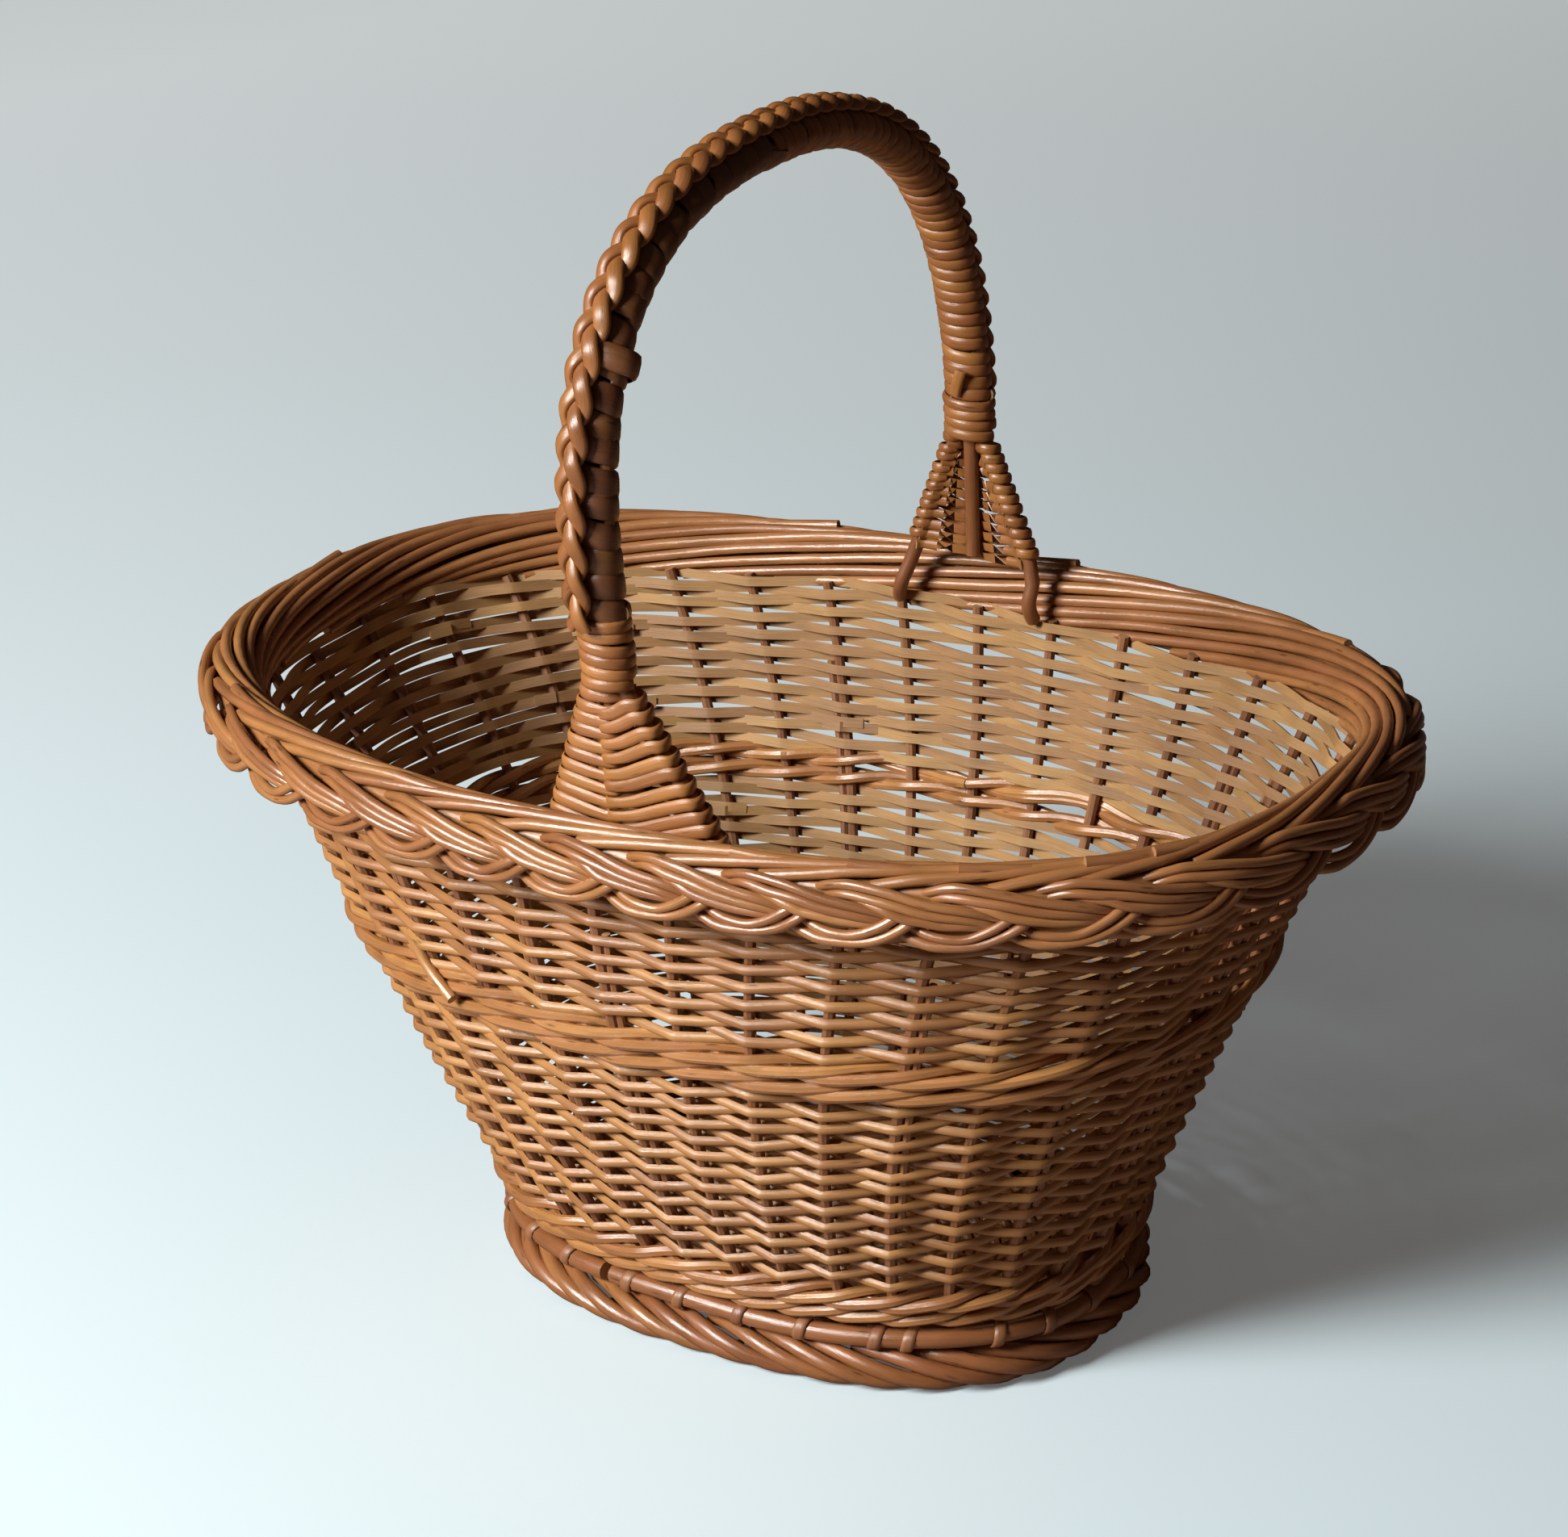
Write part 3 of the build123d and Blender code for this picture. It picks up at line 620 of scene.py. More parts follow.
def weave_rows(bundle, wall, low_z, high_z, rows, first_side, crowding):
    """Plain weave, in front of one stake and behind the next; crowding brings the upper rows closer."""
    s = sizes("wall")
    swing = s.stake_radius + s.weaver_thickness / 2 + CLEARANCE
    for row in range(rows):
        share_up = (row + 0.5) / rows
        level = low_z + (high_z - low_z) * share_up * (1 + crowding * (1 - share_up))
        start = int(bundle.rng.integers(0, s.stakes // 2)) * 2 + (row + first_side) % 2
        place = (start - 1 + np.arange(s.stakes + 2)[:, None] + CROSSING_STATIONS).ravel()
        place = place[(place > start - ROW_OVERLAP) & (place < start + s.stakes + ROW_OVERLAP)]
        stake = np.floor(place).astype(int)
        side = np.where((stake + row + first_side) % 2 == 0, -1.0, 1.0)
        wave = side * (1 - 2 * (place - stake))
        tuck = np.clip(np.abs(place - start - s.stakes / 2) - s.stakes / 2, 0, 1)
        inset = np.where(place < start, ROW_START_INSET, ROW_END_INSET) * (tuck > 0) * (0.4 + tuck)
        wander, shift, _ = bundle.rng.uniform(-1, 1, 3) * 0.00018
        z = level + sway(place, level) + wander * np.sin(place * 0.9 + row) + shift
        points, out, _ = wall.at(place, z)
        points = points + out * (wave * swing - inset)[:, None]
        section = split_section(s.weaver_width * bundle.rng.uniform(0.92, 1.08), s.weaver_thickness)
        bundle.sweep(points, out, section, split_sides=[len(section) - 1])


class BASKET_OT_lower_weave(bpy.types.Operator):
    """Weave the split willow under the middle wale"""
    bl_idname = "basket.lower_weave"
    bl_label = "Lower Weave"

    def execute(self, context):
        s = sizes("wall")
        bundle = Bundle(23)
        weave_rows(bundle, Wall(), s.lower_low_z, s.lower_high_z, s.lower_rows, 0, s.lower_crowding)
        nodes = [f"lower_weaver_{k:02d}" for k in range(1, 12)]
        bundle.gather("lower_weave", finish_of("weaver"), nodes)
        return {"FINISHED"}


class BASKET_OT_upper_weave(bpy.types.Operator):
    """Weave the split willow between the middle wale and the border"""
    bl_idname = "basket.upper_weave"
    bl_label = "Upper Weave"

    def execute(self, context):
        s = sizes("wall")
        bundle = Bundle(31)
        weave_rows(bundle, Wall(), s.upper_low_z, s.upper_high_z, s.upper_rows, 1, 0.0)
        nodes = [f"upper_weaver_{k:02d}" for k in range(1, 7)]
        bundle.gather("upper_weave", finish_of("weaver"), nodes)
        return {"FINISHED"}


# The beat of a wale rod over three stakes: how far out it lies there, and how high
WALE_BEAT = (0, 0.5, 1.0, 1.5, 2.0, 2.5, 3.0)
WALE_DEPTH = (-1.0, 0.12, 1.0, 0.96, 0.92, -0.06, -1.0)
WALE_HEIGHT = (0.0, -0.9, -1.0, -0.2, 0.8, 1.0, 0.0)
# Place in stakes, height, and distance out from the wall, of the thick end of a joined rod
JOINED_END_PATH = [
    (20.90, 0.1625, -0.0050), (21.30, 0.1590, -0.0030), (21.70, 0.1545, 0.0010),
    (22.10, 0.1490, 0.0052), (22.50, 0.1430, 0.0078),
]
JOINED_END_RADIUS = 0.0020


def eased(values):
    """A row of values with its corners rounded off."""
    return np.convolve(np.pad(values, 2, mode="edge"), [0.1, 0.2, 0.4, 0.2, 0.1], "valid")


def wale_rounds(bundle, wall, centre_z):
    """Two layers of three rods, each in front of two stakes and behind the third."""
    s = sizes("wall")
    swing = s.stake_radius + s.wale_radius
    stations = 8
    around = np.arange(s.stakes * stations + 1) / stations
    for layer, level in enumerate((-s.wale_layer, s.wale_layer)):
        for rod in range(3):
            # Each rod starts further round and takes the beat one stake after the rod before it
            place = around + 3 * rod + 5 * layer
            beat = np.mod(place - rod - layer, 3)
            depth = eased(np.interp(beat, WALE_BEAT, WALE_DEPTH))
            height = eased(np.interp(beat, WALE_BEAT, WALE_HEIGHT))
            z = centre_z + level + s.wale_lift * height + sway(place, centre_z)
            points, out, _ = wall.at(place, z)
            points = points + out * (depth * swing)[:, None]
            bundle.sweep(points, out, round_section(s.wale_radius * bundle.rng.uniform(0.93, 1.05)))


def joined_end(bundle, wall):
    """The thick end of a rod that was joined in: it comes out between two rows and lies on the wall."""
    place, z, proud = np.transpose(JOINED_END_PATH)
    points, out, _ = wall.at(place, z)
    line = smooth_line(points + out * proud[:, None], 4)
    bundle.sweep(line, out[2], round_section(JOINED_END_RADIUS, 10), tint=0.95)


class BASKET_OT_wales(bpy.types.Operator):
    """Weave the wale at the foot and the one in the middle of the wall"""
    bl_idname = "basket.wales"
    bl_label = "Wales"

    def execute(self, context):
        s = sizes("wall")
        wall = Wall()
        for node, z, seed in (("upsett_wale", s.upsett_z, 41), ("middle_wale", s.middle_z, 43)):
            bundle = Bundle(seed)
            wale_rounds(bundle, wall, z)
            if node == "middle_wale":
                joined_end(bundle, wall)
            bundle.gather(node, finish_of("wale"), [f"{node}_{k}" for k in (1, 2, 3)])
        return {"FINISHED"}


# Border

def border_rim():
    """The middle line of the border."""
    s = sizes("border")
    return Rim(s.half_length, s.half_width, s.centre_z, s.units, s.sag)


# Place in pitches, height and outward reach in millimetres, of the middle line of each rod of a
# strand: it comes over the crest, slants down, dips under a hook, hooks round and tucks away
UPPER_ROD_PATH = [
    (-0.18, 4.6, 2.2), (-0.04, 6.6, 4.4), (0.10, 8.0, 6.0), (0.25, 8.6, 7.2), (0.58, 7.2, 9.0),
    (0.93, 4.2, 9.8), (1.28, 1.7, 9.4), (1.48, -0.4, 8.0), (1.62, -2.8, 6.3), (1.74, -5.2, 6.2),
    (1.86, -6.8, 7.6), (2.02, -7.7, 8.9), (2.23, -7.9, 9.3), (2.44, -5.0, 9.5), (2.60, -1.7, 9.0),
    (2.71, 0.4, 7.2), (2.82, 2.4, 4.8),
]
MIDDLE_ROD_PATH = [
    (-0.10, 2.2, 2.4), (0.05, 4.6, 5.4), (0.20, 5.3, 7.4), (0.40, 4.6, 8.8), (0.65, 3.4, 9.8),
    (0.93, 1.0, 10.0), (1.25, -1.1, 9.3), (1.44, -2.7, 7.9), (1.56, -5.2, 6.4), (1.65, -7.6, 6.4),
    (1.77, -9.3, 7.7), (1.95, -10.5, 8.9), (2.28, -10.2, 9.2), (2.51, -7.8, 9.4), (2.70, -4.0, 9.4),
    (2.82, -1.2, 7.6), (2.92, 0.8, 5.2),
]
# The third rod lies under the other two and ends below the next hook
LOWER_ROD_PATH = [
    (0.12, 3.4, 3.6), (0.33, 3.2, 7.4), (0.50, 2.0, 9.2), (0.62, 0.5, 10.0), (0.74, -0.8, 10.2),
    (0.90, -1.8, 10.0), (1.08, -2.8, 9.5), (1.32, -3.6, 8.6), (1.48, -4.2, 7.0), (1.60, -4.8, 4.8),
]
# A tail lies along the top of the rim and slides inwards and down from pitch to pitch
TAIL_PATH = [
    (0.30, 7.4, 4.6), (0.70, 9.6, 4.1), (1.2, 10.9, 2.6), (2.0, 11.4, -0.6), (3.0, 10.2, -4.4),
    (4.0, 7.0, -7.6), (5.0, 3.0, -9.2), (6.0, -1.2, -9.8), (7.0, -5.4, -9.6), (7.7, -8.2, -9.0),
]
# A cut butt stands a little proud on the top of the rim before its rod dives in
BUTT_PATH = [
    (-0.10, 13.0, 1.8), (0.25, 12.0, 1.0), (0.75, 10.8, -0.6), (1.4, 9.2, -2.4), (2.1, 6.6, -4.0),
]
# Units of the plait that have a butt in any case; the others have one by chance
FRONT_BUTTS = (27, 28, 29, 30)
# Height, outward reach and radius of the rails inside the plait, in millimetres
RAILS = ((4.0, 1.2, 4.0), (-3.6, 0.8, 4.2), (-7.0, -4.6, 2.6))


def uneven(bundle, path, slack):
    """A path whose knots lie a little higher or lower by chance."""
    return [(place, height + bundle.rng.normal(0, slack), reach) for place, height, reach in path]


def along_rim(rim, start, path):
    """A line on the rim through the knots of a path, and the outward direction."""
    curve = smooth_line(np.array(path) * (1.0, MILLIMETRE, MILLIMETRE), 4)
    return rim.at(start + curve[:, 0], curve[:, 2], curve[:, 1])


class BASKET_OT_border_plait(bpy.types.Operator):
    """Plait the outer face of the border, three rods to a strand"""
    bl_idname = "basket.border_plait"
    bl_label = "Border Plait"

    def execute(self, context):
        s = sizes("border")
        rim = border_rim()
        bundle = Bundle(53)
        for i in range(rim.units):
            start = i + bundle.rng.normal(0, 0.025)
            for path in (UPPER_ROD_PATH, MIDDLE_ROD_PATH, LOWER_ROD_PATH):
                line, out = along_rim(rim, start, uneven(bundle, path, 0.12))
                bundle.sweep(line, out, round_section(s.strand_radius * bundle.rng.uniform(0.95, 1.08)))
        bundle.gather("border_plait", finish_of("border"), ["border_strands"], 60)
        return {"FINISHED"}


class BASKET_OT_border_tails(bpy.types.Operator):
    """Lay the rods along the top and inside of the border"""
    bl_idname = "basket.border_tails"
    bl_label = "Border Tails"

    def execute(self, context):
        s = sizes("border")
        rim = border_rim()
        bundle = Bundle(59)
        for i in range(rim.units):
            start = i + bundle.rng.normal(0, 0.06)
            path = uneven(bundle, TAIL_PATH, 0.25)
            place, height, reach = path[-1]
            path[-1] = (place + bundle.rng.uniform(-0.3, 0.3), height, reach)
            line, out = along_rim(rim, start, path)
            bundle.sweep(line, out, round_section(s.tail_radius * bundle.rng.uniform(0.93, 1.08)))
        for i in range(rim.units):
            chance = bundle.rng.uniform()
            if i in FRONT_BUTTS or chance < 0.25:
                line, out = along_rim(rim, i + 0.6 * chance, BUTT_PATH)
                bundle.sweep(line, out, round_section(s.tail_radius * (0.95 + 0.2 * chance)))
        around = np.linspace(0, rim.units, ROUND_STATIONS)
        for height, reach, radius in np.array(RAILS) * MILLIMETRE:
            line, out = rim.at(around, reach, height)
            bundle.sweep(line, out, round_section(radius))
        nodes = ["border_rail_1", "border_rail_2", "border_rail_3"]
        bundle.gather("border_tails", finish_of("border"), nodes, 60)
        return {"FINISHED"}


# Foot and base

class BASKET_OT_foot(bpy.types.Operator):
    """Roll the short rods round the foot"""
    bl_idname = "basket.foot"
    bl_label = "Foot"

    def execute(self, context):
        s = sizes("foot")
        rim = Rim(s.half_length, s.half_width, s.centre_z, s.rods)
        bundle = Bundle(61)
        # A rod comes over the roll from inside and ends under it, several places further on
        turn = np.radians(np.linspace(125, -115, 21))
        place = np.linspace(-1.9, 1.7, len(turn))
        for i in range(s.rods):
            nudge = bundle.rng.normal(0, 0.05)
            line, out = rim.rolled(i + nudge + place, turn, s.roll_width, s.roll_height)
            bundle.sweep(line, out, round_section(s.rod_radius * bundle.rng.uniform(0.92, 1.0), 9))
        bundle.gather("foot_roll", finish_of("foot"), ["foot_rods"], 60)
        return {"FINISHED"}


def hoop_rim():
    """The line of the hoop, close outside the thickest stake."""
    s = sizes("foot")
    w = sizes("wall")
    straight, added = Wall().half_sizes(s.hoop_z)
    half_length, half_width = straight + added + w.stake_radius * 1.12 + 0.0003 + s.hoop_radius
    return Rim(half_length, half_width, s.hoop_z, w.stakes)


class BASKET_OT_hoop(bpy.types.Operator):
    """Bend the hoop round the foot and lash it"""
    bl_idname = "basket.hoop"
    bl_label = "Hoop"

    def execute(self, context):
        s = sizes("foot")
        rim = hoop_rim()
        bundle = Bundle(67)
        place = np.linspace(s.hoop_start, s.hoop_start + rim.units - s.hoop_gap, ROUND_STATIONS)
        line, out = rim.at(place, 0.0, 0.0004 * np.sin(place * 1.1))
        bundle.sweep(line, out, round_section(s.hoop_radius, 10))
        bundle.gather("hoop", finish_of("foot"), ["base_hoop"], 60)
        ties = Bundle(71)
        turn = np.radians(np.linspace(-125, 125, 15))
        reach = s.hoop_radius + CLEARANCE
        for k in range(s.lashings):
            place = (k + 0.25 + ties.rng.uniform(-0.3, 0.3)) * rim.units / s.lashings
            slant = ties.rng.uniform(-0.05, 0.05) + 0.1 * turn / turn[-1]
            line, out = rim.rolled(place + slant, turn, reach, reach)
            ties.sweep(line, out, skein_section(s.tie_width, s.tie_thickness))
        ties.gather("hoop_ties", finish_of("tie"), ["hoop_lashings"], 50)
        return {"FINISHED"}


# Inset, height over the base and swing of the round that closes the corner to the stakes
CLOSING_ROUND = (-0.0012, 0.0062, 0.0016)


def oval_reach(along, half_along, half_across):
    """How far the base's oval reaches sideways at a distance from its middle."""
    power = sizes("wall").power
    return half_across * (1 - abs(along / half_along) ** power) ** (1 / power)


class BASKET_OT_base(bpy.types.Operator):
    """Weave the base on its sticks"""
    bl_idname = "basket.base"
    bl_label = "Base"

    def execute(self, context):
        s = sizes("foot")
        straight, added = Wall().half_sizes(s.base_z)
        half_length, half_width = straight + added - sizes("wall").stake_radius - 0.001
        cross = Bundle(73)
        for x in np.linspace(-s.cross_reach, s.cross_reach, s.cross_sticks):
            reach = oval_reach(x, half_length, half_width) - 0.003
            cross.sweep(np.linspace((x, -reach, s.base_z), (x, reach, s.base_z), 9), X_AXIS,
                        round_section(s.cross_radius))
        cross.gather("cross_sticks", finish_of("stake"), ["base_cross_sticks"])
        through = Bundle(79)
        for y in np.linspace(-s.long_reach, s.long_reach, s.long_sticks):
            reach = oval_reach(y, half_width, half_length)
            through.sweep(np.linspace((-reach, y, s.base_z), (reach, y, s.base_z), 9), Y_AXIS,
                          round_section(s.long_radius))
        through.gather("long_sticks", finish_of("stake"), ["base_long_sticks"])
        weave = Bundle(83)
        beats = s.base_beats
        turns = np.linspace(0, beats, beats * 6 + 1)
        rounds = [(s.base_inset + row * s.base_pitch, 0.0, s.base_swing) for row in range(s.base_rows)]
        for inset, lift, swing in rounds + [CLOSING_ROUND]:
            rim = Rim(half_length - inset, half_width - inset, s.base_z + lift, beats)
            for strand in (-1, 1):
                line, out = rim.at(turns, 0.0, strand * swing * np.cos(math.pi * turns))
                weave.sweep(line, out, round_section(s.base_rod_radius, 7))
        nodes = ["base_weave_upper", "base_weave_lower"]
        weave.gather("base_weave", finish_of("wale"), nodes)
        return {"FINISHED"}


# Handle

def bow_line(steps):
    """The bow's middle line from collar to collar, and the distance walked along it."""
    s = sizes("handle")
    turn = np.linspace(0, math.pi, steps)
    c, sn = -np.cos(turn), np.sin(turn)
    # About 1 at the near shoulder of the bow and 0 at its feet
    shoulder = sn * (1 - c) / 1.3
    y = s.half_span * np.abs(c) ** (2 / s.power) * np.sign(c) - s.lean * shoulder
    z = s.spring_z + (s.crown_z - s.spring_z) * np.clip(sn, 0, 1) ** (2 / s.power)
    arch = np.column_stack([s.shift - s.twist * y / s.half_span, y, z])
    near = (s.shift + s.twist, -s.half_span, s.collar_low_z)
    far = (s.shift - s.twist, s.half_span, s.far_collar_low_z)
    line = np.vstack([near, arch, far])
    return line, walked_along(line)


class Bow:
    """The middle line of the bow, walked at an even pace from the near collar to the far one."""

    def __init__(self):
        s = sizes("handle")
        self.line, self.walked = bow_line(241)
        self.length = self.walked[-1]
        self.near_collar_end = s.collar_high_z - s.collar_low_z
        self.far_collar_start = self.length - (s.collar_high_z - s.far_collar_low_z)

    def points(self, distance):
        """Points at distances along the bow."""
        return np.column_stack([np.interp(distance, self.walked, axis) for axis in self.line.T])

    def at(self, distance):
        """Points and outward directions at distances along the bow."""
        step = 0.004
        run = unit(self.points(distance + step) - self.points(distance - step))
        return self.points(distance), np.cross(X_AXIS, run)


# Height and distance from the middle plane of a side rod's end, which leaves the border inwards and
# tucks itself away behind the inner strips of the weave
ROD_END = ((0.2138, 0.1180), (0.2175, 0.1160), (0.222, 0.1153), (0.236, 0.1176))
MIDDLE_ROD_END = ((0.2355, 0.1176), (0.246, 0.1182))


def splay(top_z, z, limit):
    """How far a rod has splayed at a height: 0 at the collar, 1 at the border."""
    return np.clip((top_z - z) / (top_z - sizes("handle").fan_foot_z), 0.0, limit)


def leg_line(side, near_reach, far_reach, far_limit):
    """The middle line of one bow rod, with its splayed and tucked ends."""
    s = sizes("handle")
    beside = side * 2 * s.rod_radius
    ends = []
    for sign, reach, top_z, limit in ((-1, near_reach, s.collar_low_z, 1.0),
                                      (1, far_reach, s.far_collar_low_z, far_limit)):
        foot_x = s.shift - sign * s.twist + beside
        part = [(foot_x + (reach - beside) * splay(top_z, z, limit), sign * y, z)
                for z, y in (ROD_END if side else MIDDLE_ROD_END)]
        part.append((foot_x, sign * s.half_span, top_z))
        ends.append(part)
    arch = bow_line(33)[0][2:-2] + X_AXIS * beside
    return smooth_line(np.vstack([ends[0], arch, ends[1][::-1]]), 3)


class BASKET_OT_handle_rods(bpy.types.Operator):
    """Bend the three bow rods of the handle"""
    bl_idname = "basket.handle_rods"
    bl_label = "Handle Rods"

    def execute(self, context):
        s = sizes("handle")
        rods = (("left", -1, -s.near_left, -s.far_splay, 1.0), ("middle", 0, 0.0, 0.0, 1.0),
                ("right", 1, s.near_right, s.far_splay, 0.7))
        for k, (name, side, near, far, far_limit) in enumerate(rods):
            bundle = Bundle(89 + k)
            bundle.sweep(leg_line(side, near, far, far_limit), X_AXIS, round_section(s.rod_radius, 10))
            bundle.gather(f"bow_{name}_rod", finish_of("bow"), [f"handle_{name}_rod"])
        return {"FINISHED"}


def round_bow(points, lift, turn, half_width, half_height):
    """A line round the bow that starts at its +X side, and the directions that a skein on it faces."""
    c, sn = np.cos(turn)[:, None], np.sin(turn)[:, None]
    line = points + X_AXIS * (half_width * c) + lift * (half_height * sn)
    return line, unit(X_AXIS * (c / half_width) + lift * (sn / half_height))


def wound(bundle, bow, start, end, pitch, swell):
    """One skein wound round the bow, with turns of uneven width that lean and overlap a little."""
    s = sizes("handle")
    sides = 18
    turns = int(round((end - start) / pitch))
    width = (end - start) / turns
    edges = np.linspace(start, end, turns + 1)
    edges[1:-1] += bundle.rng.uniform(-0.16, 0.16, turns - 1) * width
    laps = np.linspace(0, turns, turns * sides)
    turn = 2 * math.pi * laps
    lean = np.repeat(bundle.rng.normal(0, 0.0004, turns), sides)
    points, lift = bow.at(np.interp(laps, np.arange(turns + 1), edges) + lean * np.cos(turn))
    loose = 1 + np.repeat(bundle.rng.uniform(-0.02, 0.03, turns), sides)[:, None]
    seat = swell - s.skein_thickness
    half_width = (s.wrap_width + seat) * loose
    half_height = (s.wrap_height + seat) * loose
    line, face = round_bow(points, lift, turn, half_width, half_height)
    shades = np.repeat(bundle.rng.uniform(0, 1, turns), sides)[:-1]
    bundle.sweep(line, face, skein_section(width * 1.04, s.skein_thickness), tint=shades)


DOUBLED_TURN_WIDTH = 0.0085
# Distance along the bow, place along X and height over the binding, of the far skein's end
TUCKED_END_PATH = [
    (0.4125, 0.0026, 0.0012), (0.4150, 0.0018, 0.0016), (0.4185, 0.0004, 0.0012), (0.4225, -0.0010, 0.0004),
]
TUCKED_END_WIDTH = 0.0046


def doubled_turn(bundle, bow):
    """The place where a new length of the near skein starts: a turn laid over the others."""
    s = sizes("handle")
    stations = 14
    turn = math.pi * np.linspace(0.62, -0.60, stations)
    points, lift = bow.at(np.linspace(0.1085, 0.1045, stations))
    # It stands off most at the bow's +X side
    half_width = s.wrap_width + 0.0004 + 0.0022 * np.exp(-(turn / 0.7) ** 2)
    line, face = round_bow(points, lift, turn, half_width[:, None], s.wrap_height + 0.0006)
    bundle.sweep(line, face, skein_section(DOUBLED_TURN_WIDTH, s.skein_thickness * 1.5), tint=0.6)


def tucked_end(bundle, bow):
    """The end of the far skein, which lies down the inside of the bow and under the collar."""
    s = sizes("handle")
    distance, aside, proud = np.transpose(TUCKED_END_PATH)[:, :, None]
    points, lift = bow.at(distance[:, 0])
    line = points + X_AXIS * aside - lift * (s.wrap_height + proud)
    bundle.sweep(line, -lift, skein_section(TUCKED_END_WIDTH, s.skein_thickness * 1.3), tint=0.9)


class BASKET_OT_handle_wrap(bpy.types.Operator):
    """Wind the skein round the bow and the collars at its feet"""
    bl_idname = "basket.handle_wrap"
    bl_label = "Handle Wrap"

    def execute(self, context):
        s = sizes("handle")
        bow = Bow()
        near = bow.near_collar_end
        crown = bow.length / 2
        far = bow.far_collar_start
        collar = (s.collar_pitch, s.collar_swell)
        # The near half of the bow takes the darkened binding colour as painted shade
        spans = (("near_binding", "near_wrap", "binding", near, crown, s.near_pitch, 0.0),
                 ("far_binding", "far_wrap", "wrap", crown, far, s.far_pitch, 0.0),
                 ("near_collar_binding", "near_collar", "skein", 0.0, near, *collar),
                 ("far_collar_binding", "far_collar", "wrap", far, bow.length, *collar))
        for k, (name, node, finish, start, end, pitch, swell) in enumerate(spans):
            bundle = Bundle(97 + k)
            wound(bundle, bow, start, end, pitch, swell)
            if node == "near_wrap":
                doubled_turn(bundle, bow)
            if node == "far_wrap":
                tucked_end(bundle, bow)
            bundle.gather(name, finish_of(finish), [node], 50)
        return {"FINISHED"}


class BASKET_OT_handle_braid(bpy.types.Operator):
    """Plait the three skeins along the outside of the bow"""
    bl_idname = "basket.handle_braid"
    bl_label = "Handle Braid"

    def execute(self, context):
        s = sizes("handle")
        bow = Bow()
        bundle = Bundle(103)
        # Both ends of the plait are tucked under the collars
        tuck = 0.003
        distance = np.linspace(bow.near_collar_end - tuck, bow.far_collar_start + tuck, 620)
        points, lift = bow.at(distance)
        # On the near leg the plait lies round towards the left of the bow
        round_left = math.radians(-32) * np.clip(1 - distance / (0.4 * bow.length), 0, 1)
        c, sn = np.cos(round_left)[:, None], np.sin(round_left)[:, None]
        face = lift * c + X_AXIS * sn
        beside = X_AXIS * c - lift * sn
        reach = 1 / np.sqrt((c / s.wrap_height) ** 2 + (sn / s.wrap_width) ** 2)
        # The plait is drawn out on the near leg and closer towards the far one
        turns = distance / s.plait_period * (0.84 + 0.32 * distance / bow.length)
        for strand in range(3):
            phase = 2 * math.pi * (turns + strand / 3)[:, None]
            level = reach + s.plait_rise - s.plait_lift * np.sin(2 * phase)
            line = points + beside * (s.plait_swing * np.sin(phase)) + face * level
            tilt = face + beside * (0.45 * np.sin(phase))
            shades = 0.5 + 0.35 * np.sin(distance[:-1] * 130 + strand * 2.1)
            bundle.sweep(line, tilt, round_section(s.plait_radius, 10, 0.5), tint=shades)
        nodes = ["braid_left_skein", "braid_right_skein"]
        bundle.gather("handle_braid", finish_of("wrap"), nodes, 60)
        return {"FINISHED"}


def fan_row(side, x, mid_x, far_x, z, drop, over):
    """Knots of one skein from rod to rod: x, distance out, z, and the way it faces in x and out."""
    clear = sizes("handle").rod_radius + 0.0007
    gap = abs(x - mid_x)
    low = z - drop
    return np.array([
        (far_x, -clear, low + 0.0012, 0, -1),
        (far_x + side * clear * 0.9, -clear * 0.3, low + 0.0010, side * 0.7, -0.7),
        (mid_x - side * 0.0045, clear * 0.2, low + 0.0004, side * 0.3, 1),
        (mid_x - side * 0.0012, clear + over, low, 0, 1),
        (mid_x + side * gap * 0.30, clear + over + 0.0004, z - drop * 0.78, 0, 1),
        (mid_x + side * gap * 0.65, clear + 0.0007, z - drop * 0.38, 0, 1),
        (x - side * 0.0006, clear + 0.0003, z, side * 0.2, 1),
        (x + side * clear * 0.75, clear * 0.72, z + 0.0002, side * 0.75, 0.65),
        (x + side * clear, 0, z + 0.0006, side, 0),
        (x + side * clear * 0.7, -clear * 0.75, z + 0.0010, side * 0.65, -0.75),
        (x - side * clear * 0.2, -clear, z + 0.0013, 0, -1),
        (x - side * clear * 0.9, -clear * 0.4, z + 0.0013, -side * 0.9, -0.4),
    ])


